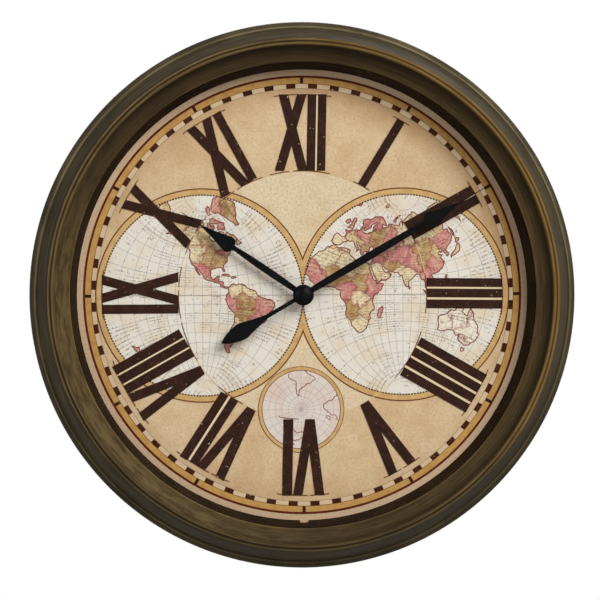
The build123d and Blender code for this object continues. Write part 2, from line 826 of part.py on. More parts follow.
coil_x = (left_leg_x + right_leg_x) / 2
coil_h = core_h + stator_t / 2
bore_half_z = half_leg + bobbin_gap
bore_half_h = stator_t / 2 + bobbin_gap
tube_half_z = bore_half_z + bobbin_wall
tube_half_h = bore_half_h + bobbin_wall
coil_x0 = coil_x - coil_l / 2
coil_x1 = coil_x + coil_l / 2
with BuildPart() as coil_bobbin:
    block(
        coil_x0,
        coil_x1,
        coil_z - tube_half_z,
        coil_z + tube_half_z,
        coil_h - tube_half_h,
        coil_h + tube_half_h,
    )
    flange_half = bobbin_flange / 2
    for x in (coil_x0, coil_x1 - bobbin_flange_t):
        block(
            x,
            x + bobbin_flange_t,
            coil_z - flange_half,
            coil_z + flange_half,
            coil_h - flange_half,
            coil_h + flange_half,
        )
    block(
        coil_x0,
        coil_x1,
        coil_z - bore_half_z,
        coil_z + bore_half_z,
        coil_h - bore_half_h,
        coil_h + bore_half_h,
        Mode.SUBTRACT,
    )
coil_bobbin.part.label = "coil_bobbin"
export_step(coil_bobbin.part, "parts/coil_bobbin.step")

with BuildPart() as coil_winding:
    with BuildSketch(end_plane(coil_x0 + bobbin_flange_t, coil_h, coil_z)):
        RectangleRounded(winding_tall, winding_tall, winding_corner)
        Rectangle(2 * tube_half_z, 2 * tube_half_h, mode=Mode.SUBTRACT)
    extrude(amount=coil_l - 2 * bobbin_flange_t)
coil_winding.part.label = "coil_winding"
export_step(coil_winding.part, "parts/coil_winding.step")

# Going train, from the rotor to the centre wheel
rotor_phase = 0.0
inter_line = pi
inter_phase = mesh_phase(rotor_pinion_teeth, inter_teeth, rotor_phase, inter_line)
seconds_line = radians(inter_angle) + pi
seconds_phase = mesh_phase(inter_pinion_teeth, seconds_teeth, inter_phase, seconds_line)
third_phase = mesh_phase(seconds_pinion_teeth, third_teeth, seconds_phase, pi)
center_phase = mesh_phase(third_pinion_teeth, center_teeth, third_phase, 0.0)
pivot_front_h = train_plate_h + train_plate_t
third_top_h = third_h + wheel_t
seconds_top_h = seconds_h + wheel_t
center_top_h = center_h + motion_t

with BuildPart() as rotor:
    disc(magnet_h, magnet_h + magnet_t, magnet_d / 2, rotor_x, rotor_z)
    disc(arbor_rear_h, pivot_front_h, rotor_arbor_d / 2, rotor_x, rotor_z)
    toothed(
        rotor_pinion_teeth,
        inter_module,
        third_h - 2 * pinion_over,
        third_top_h + 2 * pinion_over,
        rotor_x,
        rotor_z,
        rotor_phase,
    )
rotor.part.label = "rotor"
export_step(rotor.part, "parts/rotor.step")

with BuildPart() as intermediate_wheel:
    disc(arbor_rear_h, pivot_front_h, fine_arbor_d / 2, inter_x, inter_z)
    toothed(inter_teeth, inter_module, third_h, third_top_h, inter_x, inter_z, inter_phase)
    toothed(
        inter_pinion_teeth,
        seconds_module,
        seconds_h - 2 * pinion_over,
        seconds_top_h + 2 * pinion_over,
        inter_x,
        inter_z,
        inter_phase,
    )
intermediate_wheel.part.label = "intermediate_wheel"
export_step(intermediate_wheel.part, "parts/intermediate_wheel.step")

with BuildPart() as seconds_wheel:
    disc(arbor_rear_h, center_h + seconds_pivot_in, seconds_arbor_d / 2)
    toothed(seconds_teeth, seconds_module, seconds_h, seconds_top_h, 0, 0, seconds_phase)
    toothed(
        seconds_pinion_teeth,
        third_module,
        third_h - 2 * pinion_over,
        center_h - 2 * pinion_over,
        0,
        0,
        seconds_phase,
    )
seconds_wheel.part.label = "seconds_wheel"
export_step(seconds_wheel.part, "parts/seconds_wheel.step")

with BuildPart() as third_wheel:
    disc(arbor_rear_h, pivot_front_h, fine_arbor_d / 2, third_x)
    toothed(third_teeth, third_module, third_h, third_top_h, third_x, 0, third_phase)
    toothed(
        third_pinion_teeth,
        center_module,
        center_h - pinion_over,
        center_top_h + pinion_over,
        third_x,
        0,
        third_phase,
    )
third_wheel.part.label = "third_wheel"
export_step(third_wheel.part, "parts/third_wheel.step")

with BuildPart() as center_wheel:
    toothed(center_teeth, center_module, center_h, center_top_h, 0, 0, center_phase)
    disc(center_h, center_top_h, minute_arbor_d / 2 + press_gap, mode=Mode.SUBTRACT)
center_wheel.part.label = "center_wheel"
export_step(center_wheel.part, "parts/center_wheel.step")

# Motion works: cannon pinion with the minute arbor, minute wheel, hour wheel with its tube
cannon_phase = 0.0
minute_wheel_phase = mesh_phase(cannon_teeth, minute_wheel_teeth, cannon_phase, pi / 2)
hour_phase = mesh_phase(minute_pinion_teeth, hour_teeth, minute_wheel_phase, -pi / 2)
minute_wheel_top_h = minute_wheel_h + minute_wheel_t
hour_wheel_top_h = hour_wheel_h + motion_t
arbor_start_h = center_h - pinion_over
with BuildPart() as cannon_pinion:
    disc(arbor_start_h, minute_top_h, minute_arbor_d / 2)
    disc(minute_top_h, minute_top_h + hand_nut_t + thread_over, minute_thread_d / 2)
    toothed(cannon_teeth, cannon_module, minute_wheel_h, minute_wheel_top_h, 0, 0, cannon_phase)
    pivot_end_h = center_h + seconds_pivot_in + layer_gap
    disc(arbor_start_h, pivot_end_h, seconds_arbor_d / 2 + run_gap, mode=Mode.SUBTRACT)
cannon_pinion.part.label = "cannon_pinion"
export_step(cannon_pinion.part, "parts/cannon_pinion.step")

with BuildPart() as minute_wheel:
    disc(knob_h, hour_wheel_top_h, knob_arbor_d / 2, 0, knob_z)
    disc(hour_wheel_top_h, inner_front_h + case_wall / 3, seconds_arbor_d / 2, 0, knob_z)
    toothed(
        minute_wheel_teeth,
        cannon_module,
        minute_wheel_h,
        minute_wheel_top_h,
        0,
        knob_z,
        minute_wheel_phase,
    )
    toothed(
        minute_pinion_teeth,
        hour_module,
        minute_wheel_top_h,
        hour_wheel_top_h + pinion_over / 2,
        0,
        knob_z,
        minute_wheel_phase,
    )
minute_wheel.part.label = "minute_wheel"
export_step(minute_wheel.part, "parts/minute_wheel.step")

with BuildPart() as hour_wheel:
    hub_low_h = hour_wheel_h - pinion_over
    toothed(hour_teeth, hour_module, hour_wheel_h, hour_wheel_top_h, 0, 0, hour_phase)
    disc(hub_low_h, inner_front_h - run_gap, bush_d / 2)
    disc(hub_low_h, hour_top_h, hour_tube_d / 2)
    disc(hub_low_h, hour_top_h, minute_arbor_d / 2 + run_gap, mode=Mode.SUBTRACT)
hour_wheel.part.label = "hour_wheel"
export_step(hour_wheel.part, "parts/hour_wheel.step")

# Fluted setting knob on the minute wheel's arbor
with BuildPart() as set_knob:
    with BuildSketch(front_plane(knob_h, 0, knob_z)):
        Circle(knob_d / 2)
        with PolarLocations(knob_d / 2, knob_flutes):
            Circle(flute_d / 2, mode=Mode.SUBTRACT)
        Circle(knob_arbor_d / 2 + press_gap, mode=Mode.SUBTRACT)
    extrude(amount=knob_t)
set_knob.part.label = "set_knob"
export_step(set_knob.part, "parts/set_knob.step")


# A flanged collet; its neck fills the eye of the hand.
def collet(h, bore_d):
    disc(h, h + collet_flange_t, collet_flange_d / 2)
    disc(h + collet_flange_t, h + collet_flange_t + hand_t, collet_neck_d / 2)
    disc(h, h + collet_flange_t + hand_t, bore_d / 2 + press_gap, mode=Mode.SUBTRACT)


eye_r = collet_neck_d / 2 + press_gap
with BuildPart() as hour_hand_collet:
    collet(hour_collet_h, hour_tube_d)
hour_hand_collet.part.label = "hour_hand_collet"
export_step(hour_hand_collet.part, "parts/hour_hand_collet.step")

with BuildPart() as hour_hand:
    with BuildSketch(front_plane(hour_hand_h, turn=hour_angle)):
        spade_hand(hour_len, hour_needle, hour_rod_half, hour_rod_sag)
        Circle(hub_d / 2)
        Circle(eye_r, mode=Mode.SUBTRACT)
    extrude(amount=hand_t)
hour_hand.part.label = "hour_hand"
export_step(hour_hand.part, "parts/hour_hand.step")

with BuildPart() as minute_hand_collet:
    collet(minute_collet_h, minute_arbor_d)
minute_hand_collet.part.label = "minute_hand_collet"
export_step(minute_hand_collet.part, "parts/minute_hand_collet.step")

with BuildPart() as minute_hand:
    with BuildSketch(front_plane(minute_hand_h, turn=minute_angle)):
        spade_hand(minute_len, minute_needle, minute_rod_half, minute_rod_sag)
        leaf_tail()
        Circle(hub_d / 2)
        Circle(eye_r, mode=Mode.SUBTRACT)
    extrude(amount=hand_t)
minute_hand.part.label = "minute_hand"
export_step(minute_hand.part, "parts/minute_hand.step")

with BuildPart() as hand_nut:
    disc(minute_top_h, minute_top_h + hand_nut_t, hand_nut_d / 2)
    disc(minute_top_h, minute_top_h + hand_nut_t, minute_thread_d / 2 + press_gap, mode=Mode.SUBTRACT)
hand_nut.part.label = "hand_nut"
export_step(hand_nut.part, "parts/hand_nut.step")

# Domed cap: a shell with a tube that grips the hand nut
dome_r = dome_d / 2
dome_inner_r = dome_r - dome_wall
grip_r = hand_nut_d / 2 + press_gap
tube_r = grip_r + dome_tube_wall
tube_top_h = dome_top_h - 1.5 * dome_wall
tube_root_h = tube_top_h - dome_wall
tube_low_h = minute_top_h + thread_over
crown_h = minute_top_h + dome_edge
crown_rise = dome_top_h - crown_h
ball_r = (dome_r**2 + crown_rise**2) / (2 * crown_rise)
crown_sag = ball_r - sqrt(ball_r**2 - (dome_r**2 + crown_rise**2) / 4)
with BuildPart() as dome_cap:
    with BuildSketch(section_plane()):
        with BuildLine():
            Line((dome_r, minute_top_h), (dome_r, crown_h))
            SagittaArc((dome_r, crown_h), (0, dome_top_h), -crown_sag)
            Polyline(
                (0, dome_top_h),
                (0, tube_top_h),
                (grip_r, tube_top_h),
                (grip_r, tube_low_h),
                (tube_r, tube_low_h),
                (tube_r, tube_root_h),
                (dome_inner_r, crown_h),
                (dome_inner_r, minute_top_h),
                (dome_r, minute_top_h),
            )
        make_face()
    revolve(axis=Axis.Y)
dome_cap.part.label = "dome_cap"
export_step(dome_cap.part, "parts/dome_cap.step")
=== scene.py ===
import math
import random

import bpy
from mathutils import Euler, Matrix


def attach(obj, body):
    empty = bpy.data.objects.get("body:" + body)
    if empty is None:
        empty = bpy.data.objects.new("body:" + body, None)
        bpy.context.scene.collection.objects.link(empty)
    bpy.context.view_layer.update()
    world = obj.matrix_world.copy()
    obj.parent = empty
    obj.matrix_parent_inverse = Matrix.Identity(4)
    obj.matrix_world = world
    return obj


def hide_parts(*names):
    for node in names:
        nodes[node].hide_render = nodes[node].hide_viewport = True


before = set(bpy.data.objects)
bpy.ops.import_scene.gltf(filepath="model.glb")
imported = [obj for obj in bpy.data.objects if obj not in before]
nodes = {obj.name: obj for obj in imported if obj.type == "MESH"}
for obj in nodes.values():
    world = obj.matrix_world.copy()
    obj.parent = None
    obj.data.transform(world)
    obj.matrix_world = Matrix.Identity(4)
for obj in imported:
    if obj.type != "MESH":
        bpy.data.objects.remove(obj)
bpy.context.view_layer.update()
print("clock loaded:", len(nodes), "pieces")

mm = 0.001


def tone(red, green, blue):  # a colour as seen on screen, 0 to 255
    levels = [value / 255 for value in (red, green, blue)]
    return tuple(v / 12.92 if v <= 0.04045 else ((v + 0.055) / 1.055) ** 2.4 for v in levels) + (1.0,)


class Wire:  # one socket of a material, with the usual sums
    def __init__(self, tree, socket=None):
        self.tree = tree
        self.socket = socket
        self.material = None

    def node(self, kind, settings=None, sockets=None, out=0):
        made = self.tree.nodes.new(kind)
        for key, value in (settings or {}).items():
            if key == "stops":
                fillRamp(made.color_ramp, value)
            else:
                setattr(made, key, value)
        for key, value in (sockets or {}).items():
            if isinstance(value, Wire):
                self.tree.links.new(value.socket, made.inputs[key])
            else:
                made.inputs[key].default_value = value
        return Wire(self.tree, made.outputs[out]) if len(made.outputs) else made

    def sums(self, operation, *others):
        return self.node("ShaderNodeMath", {"operation": operation}, dict(enumerate((self,) + others)))

    def __add__(self, other):
        return self.sums("ADD", other)

    def __sub__(self, other):
        return self.sums("SUBTRACT", other)

    def __rsub__(self, other):
        return self.node("ShaderNodeMath", {"operation": "SUBTRACT"}, {0: other, 1: self})

    def __mul__(self, other):
        return self.sums("MULTIPLY", other)

    def __truediv__(self, other):
        return self.sums("DIVIDE", other)

    def __rtruediv__(self, other):
        return self.node("ShaderNodeMath", {"operation": "DIVIDE"}, {0: other, 1: self})

    def __abs__(self):
        return self.sums("ABSOLUTE")

    __radd__ = __add__
    __rmul__ = __mul__


def fillRamp(ramp, stops):
    while len(ramp.elements) < len(stops):
        ramp.elements.new(1.0)
    for element, (place, colour) in zip(ramp.elements, stops):
        element.position = place
        element.color = colour


def smooth(value, low, high):  # 0 at low, 1 at high, whichever is the larger
    settings = {"interpolation_type": "SMOOTHSTEP", "clamp": True}
    if low < high:
        return value.node("ShaderNodeMapRange", settings, {0: value, 1: low, 2: high})
    return value.node("ShaderNodeMapRange", settings, {0: value, 1: high, 2: low, 3: 1.0, 4: 0.0})


def fade(value, limits):  # 0 at the first limit, 1 at the second, both in millimetres
    return smooth(value, limits[0] * mm, limits[1] * mm)


def blend(share, first, second):  # first colour at 0, second at 1
    keeper = next(part for part in (share, first, second) if isinstance(part, Wire))
    return keeper.node("ShaderNodeMix", {"data_type": "RGBA"}, {0: share, 6: first, 7: second}, out=2)


def grain(place, scale, detail=3.0, rough=0.55, out=0):
    sockets = {"Vector": place, "Scale": scale, "Detail": detail, "Roughness": rough}
    return place.node("ShaderNodeTexNoise", None, sockets, out)


def stretched(place, x, y, z):
    return place.node("ShaderNodeVectorMath", {"operation": "MULTIPLY"}, {0: place, 1: (x, y, z)})


def joined(x, y, z):
    keeper = next(part for part in (x, y, z) if isinstance(part, Wire))
    return keeper.node("ShaderNodeCombineXYZ", None, {0: x, 1: y, 2: z})


def split(place):
    return [place.node("ShaderNodeSeparateXYZ", None, {0: place}, out) for out in range(3)]


def fromAxis(x, z):
    return (x * x + z * z).sums("SQRT")


def newFinish(name, centre=(0.0, 0.0, 0.0)):  # an empty material and its place on the piece
    material = bpy.data.materials.new(name)
    material.use_nodes = True
    material.node_tree.nodes.clear()
    start = Wire(material.node_tree)
    coords = start.node("ShaderNodeTexCoord", None, None, "Object")
    place = coords.node("ShaderNodeMapping", None, {"Vector": coords, "Location": centre})
    place.material = material
    return place


def closeFinish(place, colour, rough, gloss=0.5, bump=None, deep=0.0, **others):  # bumps this deep, in metres
    sockets = {"Base Color": colour, "Roughness": rough, "Specular IOR Level": gloss, **others}
    if bump is not None:
        dents = {"Height": bump, "Distance": deep, "Strength": 1.0}
        sockets["Normal"] = place.node("ShaderNodeBump", None, dents)
    shader = place.node("ShaderNodeBsdfPrincipled", None, sockets)
    place.node("ShaderNodeOutputMaterial", None, {"Surface": shader})
    return place.material


def dress(material, *names):
    for name in names:
        nodes[name].data.materials.clear()
        nodes[name].data.materials.append(material)


def deselectAll():
    if bpy.context.mode != "OBJECT":
        bpy.ops.object.mode_set(mode="OBJECT")
    bpy.ops.object.select_all(action="DESELECT")


def choose(piece):
    deselectAll()
    piece.select_set(True)
    bpy.context.view_layer.objects.active = piece


def newCurve(name, paths, closed=True, **settings):  # straight runs through the points of each path
    curve = bpy.data.curves.new(name, "CURVE")
    for key, value in settings.items():
        setattr(curve, key, value)
    for path in paths:
        spline = curve.splines.new("POLY")
        spline.points.add(len(path) - 1)
        for point, (across, along) in zip(spline.points, path):
            point.co = (across, along, 0, 1)
        spline.use_cyclic_u = closed
    piece = bpy.data.objects.new(name, curve)
    bpy.context.scene.collection.objects.link(piece)
    choose(piece)
    return piece


def asMesh(piece):
    choose(piece)
    bpy.ops.object.convert(target="MESH")
    return bpy.context.view_layer.objects.active


def flatPiece(name, outlines, thick):  # filled outlines, one inside another leaves a hole
    return asMesh(newCurve(name, outlines, dimensions="2D", fill_mode="BOTH", extrude=thick / 2))


def closeMesh(piece, gap):  # joins loose edges and turns the faces outwards
    choose(piece)
    bpy.ops.object.mode_set(mode="EDIT")
    bpy.ops.mesh.select_all(action="SELECT")
    bpy.ops.mesh.remove_doubles(threshold=gap)
    bpy.ops.mesh.normals_make_consistent(inside=False)
    bpy.ops.object.mode_set(mode="OBJECT")


# Frame paint: dark bronze with gold rubbed on the lip, the reeds and the rim, painted shade in the hollows,
# and painted highlight and shade on the sides as the lamp falls
bronze = {
    "bands": [  # radius in millimetres, paint there
        (215.6, tone(104, 84, 52)),
        (217.4, tone(76, 61, 38)),
        (224.0, tone(74, 59, 37)),
        # painted shade: the cove darkens into its deepest part under the bead
        (229.6, tone(52, 41, 25)),
        (230.8, tone(78, 63, 40)),
        (231.7, tone(112, 91, 56)),
        (232.5, tone(114, 93, 57)),
        (233.3, tone(74, 61, 39)),
        # painted shade in the groove between the reeds
        (234.0, tone(50, 41, 27)),
        (234.9, tone(80, 66, 42)),
        (235.8, tone(122, 100, 63)),
        (236.7, tone(84, 70, 46)),
        # painted shade in the quirk outside the reeds
        (237.8, tone(38, 32, 23)),
        (239.0, tone(76, 67, 48)),
        (246.6, tone(72, 63, 46)),
        (248.5, tone(130, 118, 86)),
        (250.4, tone(78, 69, 51)),
        (254.0, tone(72, 64, 48)),
    ],
    # worn also paints shade on the cone and reeds in the list below, brown paints the shade at the top of the
    # cove, gold paints a highlight on the reeds' upper right
    "worn": tone(44, 38, 27),
    "rubbedAndLit": tone(117, 99, 62),
    "brown": tone(38, 28, 17),
    "gold": tone(142, 104, 46),
    "rough": 0.5,
    "gloss": 0.03,
    "cove": (231.0, 230.0),
    # The list below is painted highlight and shade, each on the side of a ring that faces towards or away
    # from the lamp.
    "wear": [  # paint, its ring's edges, the side it lies on as right and up, start and full there, share
        # painted shade: the top of the cove darker brown
        ("brown", [(231.0, 230.0)], (-0.4, 1.0), (0.2, 0.95), 0.45),
        # painted shade: the cone and rim darker towards the bottom and lower right
        ("worn", [(236.8, 238.5)], (0.5, -1.0), (-0.2, 1.1), 0.66),
        # painted highlight: more gold on the reeds' upper right
        ("gold", [(230.0, 231.0), (238.0, 237.2)], (0.9, 0.42), (0.2, 0.8), 0.26),
        # painted shade: the reeds darker towards the bottom
        ("worn", [(230.0, 231.0), (238.0, 237.2)], (-0.26, -0.97), (0.3, 0.9), 0.5),
        # painted shade: the cone darker at the upper right, dimming the lamp's sheen there
        ("worn", [(237.8, 238.6), (247.4, 246.4)], (0.64, 0.77), (0.6, 1.0), 0.36),
    ],
}


def bronzeFinish():
    place = newFinish("bronzePaint")
    x, y, z = split(place)
    radius = fromAxis(x, z)
    across = (radius - y) * 900.0
    streak = grain(joined(x / radius * 5.0, across, z / radius * 5.0), 1.0, 4.0, 0.65)
    cloud = grain(place, 24.0, 4.0)
    speck = grain(place, 1100.0, 2.0)
    low = bronze["bands"][0][0]
    span = bronze["bands"][-1][0] - low
    stops = [((at - low) / span, paint) for at, paint in bronze["bands"]]
    band = (radius / mm + (cloud - 0.5) * 0.9 - low) / span
    colour = band.node("ShaderNodeValToRGB", {"stops": stops}, {0: band})
    colour = blend(smooth(streak * 0.7 + cloud * 0.3, 0.42, 0.6) * 0.6, colour, bronze["worn"])
    colour = blend(smooth(streak, 0.44, 0.3) * 0.3, colour, bronze["rubbedAndLit"])
    colour = blend(smooth(speck, 0.6, 0.75) * 0.3, colour, bronze["worn"])
    patch = grain(joined(x / radius * 11.0, across * 0.22, z / radius * 11.0), 1.0, 5.0, 0.65)
    inCove = fade(radius, bronze["cove"])
    # painted highlight: more of the rubbed gold on the cove's left and lower left, the side that faces the
    # lamp
    litSide = smooth((-1.0 * x - 0.45 * z) / radius, 0.2, 1.0)
    colour = blend(inCove * litSide * (0.1 + smooth(patch, 0.42, 0.6) * 0.4), colour, bronze["rubbedAndLit"])
    colour = blend(inCove * smooth(patch, 0.46, 0.34) * 0.3, colour, bronze["worn"])
    # painted highlight and shade, each ring lighter or darker on the side given in the list
    for paint, edges, (right, up), (start, full), share in bronze["wear"]:
        spread = smooth((right * x + up * z) / radius, start, full) * share
        for edge in edges:
            spread = spread * fade(radius, edge)
        colour = blend(spread, colour, bronze[paint])
    rough = bronze["rough"] + (streak - 0.5) * 0.16
    return closeFinish(place, colour, rough, bronze["gloss"], streak * 0.5 + speck * 0.5, 0.04 * mm)


bronzePaint = bronzeFinish()
dress(bronzePaint, "frame", "case_band")

# Frame ring, spun round the hand axis: corner as radius and height in millimetres, bow of the run after it
moulding = {
    "corners": [
        ((254.0, 22.0), 0.0),
        ((254.0, 32.9), 1.3),
        ((249.6, 39.5), 1.0),
        ((247.2, 40.5), 0.0),
        ((238.0, 55.9), 0.0),
        ((237.6, 56.9), 1.5),
        ((234.0, 58.4), 1.5),
        ((230.4, 58.4), -3.0),
        ((217.0, 50.4), 1.2),
        ((217.0, 48.0), 0.0),
        ((220.5, 48.0), 0.0),
        ((220.5, 25.6), 0.0),
        ((223.5, 25.6), 0.0),
        ((223.5, 47.4), 0.0),
        ((232.46, 54.36), 0.0),
        ((235.42, 54.36), 0.0),
        ((244.62, 38.96), 0.0),
        ((248.06, 36.5), 0.0),
        ((251.0, 32.9), 0.0),
        ((251.0, 22.0), 0.0),
    ],
    "steps": 288,
    "arcSteps": 10,
    "seam": 0.001,
    "softEdge": 32.0,
    "ribs": 12,
    "ribStart": 15.0,
    "ribThick": 2.0,
    "rib": [(223.0, 27.0), (251.5, 27.0), (251.5, 32.9), (248.06, 37.0), (244.62, 39.46), (235.42, 54.86),
            (232.46, 54.86), (223.0, 47.4)],
    "bosses": 8,
    "bossStart": 22.5,
    "bossRadius": 227.5,
    "bossWide": 9.0,
    "bossFoot": 25.6,
    "bossLong": 23.0,
    "bossSides": 32,
    "holeWide": 3.5,
    "holeDeep": 15.0,
}


def bowed(start, end, bow):  # a corner and the points of the arc from it to the next corner
    if bow == 0:
        return [start]
    run = (end[0] - start[0], end[1] - start[1])
    chord = math.hypot(*run)
    along = (run[0] / chord, run[1] / chord)
    out = (along[1], -along[0])
    half = 2 * math.atan(2 * abs(bow) / chord)
    radius = math.copysign(chord / 2 / math.sin(half), bow)
    middle = [(start[k] + end[k]) / 2 + out[k] * (bow - radius) for k in (0, 1)]
    points = []
    for step in range(moulding["arcSteps"]):
        turn = half * (2 * step / moulding["arcSteps"] - 1)
        side = math.sin(turn) * abs(radius)
        points.append([middle[k] + out[k] * radius * math.cos(turn) + along[k] * side for k in (0, 1)])
    return points


def spunRing(name):
    corners = moulding["corners"]
    path = []
    for (start, bow), after in zip(corners, corners[1:] + corners[:1]):
        path += bowed(start, after[0], bow)
    ring = asMesh(newCurve(name, [[(radius * mm, -height * mm) for radius, height in path]], dimensions="3D"))
    bpy.ops.object.mode_set(mode="EDIT")
    bpy.ops.mesh.select_all(action="SELECT")
    bpy.ops.mesh.spin(steps=moulding["steps"], angle=2 * math.pi, center=(0, 0, 0), axis=(0, 1, 0))
    closeMesh(ring, moulding["seam"] * mm)
    return ring


def screwBoss():
    deselectAll()
    middle = moulding["bossFoot"] + moulding["bossLong"] / 2
    bpy.ops.mesh.primitive_cylinder_add(
        vertices=moulding["bossSides"], radius=moulding["bossWide"] / 2 * mm, depth=moulding["bossLong"] * mm,
        location=(moulding["bossRadius"] * mm, -middle * mm, 0), rotation=(math.pi / 2, 0, 0))
    boss = bpy.context.object
    bpy.ops.object.transform_apply(location=True, rotation=True, scale=True)
    bpy.ops.object.mode_set(mode="EDIT")
    bpy.ops.mesh.select_all(action="DESELECT")
    bpy.ops.object.mode_set(mode="OBJECT")
    for face in boss.data.polygons:
        face.select = face.normal[1] > 0.9
    bpy.ops.object.mode_set(mode="EDIT")
    bpy.ops.mesh.select_mode(type="FACE")
    bpy.ops.mesh.inset(thickness=(moulding["bossWide"] - moulding["holeWide"]) / 2 * mm)
    bpy.ops.mesh.extrude_region_move(TRANSFORM_OT_translate={"value": (0, -moulding["holeDeep"] * mm, 0)})
    bpy.ops.object.mode_set(mode="OBJECT")
    return boss


def setRound(piece, count, start):  # copies of a piece all round the hand axis
    copies = []
    for k in range(count):
        copy = piece.copy()
        copy.data = piece.data.copy()
        bpy.context.scene.collection.objects.link(copy)
        choose(copy)
        copy.rotation_euler = (0, math.radians(start + 360 * k / count), 0)
        bpy.ops.object.transform_apply(location=True, rotation=True, scale=True)
        copies.append(copy)
    bpy.data.objects.remove(piece)
    return copies


def frameRing():
    ring = spunRing("frameRing")
    rib = flatPiece("frameRib", [moulding["rib"]], moulding["ribThick"])
    rib.scale = (mm, mm, mm)
    rib.rotation_euler = (math.pi, 0, 0)
    bpy.ops.object.transform_apply(location=True, rotation=True, scale=True)
    closeMesh(rib, moulding["seam"] * mm)
    parts = setRound(rib, moulding["ribs"], moulding["ribStart"])
    parts += setRound(screwBoss(), moulding["bosses"], moulding["bossStart"])
    deselectAll()
    for part in parts + [ring]:
        part.select_set(True)
    bpy.context.view_layer.objects.active = ring
    bpy.ops.object.join()
    bpy.ops.object.shade_smooth_by_angle(angle=math.radians(moulding["softEdge"]))
    ring.data.materials.clear()
    ring.data.materials.append(bronzePaint)
    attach(ring, "root")
    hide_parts("frame")


frameRing()
print("frame ring spun")

# Dark ring between glass and dial
spacer = {"deep": tone(28, 19, 11), "worn": tone(48, 35, 22), "gloss": 0.03}


def spacerFinish():
    place = newFinish("darkRing")
    x, y, z = split(place)
    radius = fromAxis(x, z)
    streak = grain(joined(x / radius * 4.0, y * 700.0, z / radius * 4.0), 1.0, 3.0)
    cloud = grain(place, 30.0)
    colour = blend(smooth(streak * 0.6 + cloud * 0.4, 0.35, 0.65), spacer["deep"], spacer["worn"])
    return closeFinish(place, colour, 0.6 + cloud * 0.15, spacer["gloss"], streak, 0.05 * mm)


dress(spacerFinish(), "spacer_ring")

# Glass: nearly all clear seen straight on, glossy at a slant, with a trace of dust
glass = {
    "clean": tone(40, 48, 46),
    "dusty": tone(70, 72, 66),
    "veil": 0.006,
    "dustVeil": 0.006,
    "slantVeil": 0.3,
    "rough": 0.04,
}


def glassFinish():
    place = newFinish("clearGlass")
    dust = grain(place, 60.0, 5.0)
    colour = blend(smooth(dust, 0.5, 0.8), glass["clean"], glass["dusty"])
    slant = place.node("ShaderNodeLayerWeight", None, {"Blend": 0.5}, "Facing")
    alpha = glass["veil"] + smooth(dust, 0.55, 0.8) * glass["dustVeil"]
    alpha = alpha + smooth(slant, 0.4, 0.95) * glass["slantVeil"]
    return closeFinish(place, colour, glass["rough"], Alpha=alpha)


dress(glassFinish(), "glass")

# Dial paper and what is printed on it, all radii in millimetres from the hand axis
dial = {
    "height": 26.0,
    "step": 0.06,
    "thick": 0.05,
    "seam": 0.0002,
    "redLine": (202.7, 204.8),
    "ochreBand": (197.5, 202.7),
    "bandLine": (197.0, 197.5),
    "trackPale": (192.9, 197.0),
    "trackLine": (192.5, 192.9),
    "darkShare": 0.425,
    "tickWide": 3.0,
    "innerDisc": 116.0,
    "discLine": 0.6,
    "discEdge": 0.4,
    "burntFrom": (165.0, 225.0),
    # where the painted shadow at the upper right starts and where it is full
    "shadowFrom": (165.0, 195.0),
}
layers = {  # the prints lie over each other in this order
    "track": 1,
    "marks": 2,
    "sea": 2,
    "lands": 3,
    "shores": 4,
    "coasts": 4.5,
    "disc": 5,
    "polarSea": 5.6,
    "polarRing": 5.8,
    "polarCoasts": 6.2,
    "polarLines": 6.4,
    "strips": 6.8,
    "serifs": 7,
    "letters": 8,
}
paper = {
    "parchment": tone(218, 194, 156),
    "warm": tone(205, 174, 132),
    # burnt paper colour, also used for the painted shadow of the frame at the upper right
    "burntAndShadow": tone(176, 136, 92),
    "disc": tone(224, 206, 174),
    "border": tone(208, 180, 150),
    "pale": tone(212, 184, 148),
    "brownLine": tone(104, 58, 30),
    "sea": tone(227, 220, 208),
    "seaWarm": tone(222, 206, 181),
    "seaStroke": tone(88, 66, 56),
    "equator": tone(84, 74, 72),
    "grid": tone(112, 107, 103),
    "gloss": 0.08,
}


def paperFinish():
    place = newFinish("parchment")
    x, y, z = split(place)
    radius = fromAxis(x, z)
    cloud = grain(place, 9.0, 5.0, 0.6)
    blotch = grain(place, 48.0, 4.0, 0.6)
    fibre = grain(place, 460.0, 3.0, 0.7)
    colour = blend(smooth(cloud * 0.4 + blotch * 0.6, 0.36, 0.66), paper["parchment"], paper["warm"])
    outside = fade(radius, dial["redLine"])
    colour = blend(fade(radius + (cloud - 0.5) * 0.09, dial["burntFrom"]) * 0.5, colour, paper["burntAndShadow"])
    colour = blend(outside * 0.8, colour, paper["border"])
    disc = fade(radius, (dial["innerDisc"] + dial["discEdge"], dial["innerDisc"] - dial["discEdge"]))
    colour = blend(disc * (0.85 - smooth(blotch, 0.4, 0.75) * 0.5), colour, paper["disc"])
    # painted shadow: the frame's shadow at the upper right, in the burnt colour, inside the red line
    shadowSide = smooth((0.7 * x + z) / radius, 0.6, 1.2)
    paintedShadow = shadowSide * fade(radius, dial["shadowFrom"])
    colour = blend(paintedShadow * (1.0 - outside) * 0.6, colour, paper["burntAndShadow"])
    colour = blend(smooth(fibre, 0.4, 0.75) * 0.54, colour, paper["burntAndShadow"])
    return closeFinish(place, colour, 0.82 + fibre * 0.08, paper["gloss"], fibre, 0.03 * mm)


def inkFinish(name, main, worn, wear, specks=0.0):
    place = newFinish(name)
    cloud = grain(place, 120.0, 4.0)
    fibre = grain(place, 1400.0, 2.0)
    colour = blend(smooth(cloud, 0.4, 0.7) * wear, main, worn)
    if specks > 0:
        bare = smooth(grain(place, 430.0, 1.0), 0.80 - specks, 0.83 - specks)
        colour = blend(bare * 0.8, colour, paper["pale"])
    return closeFinish(place, colour, 0.7 + fibre * 0.15, paper["gloss"])


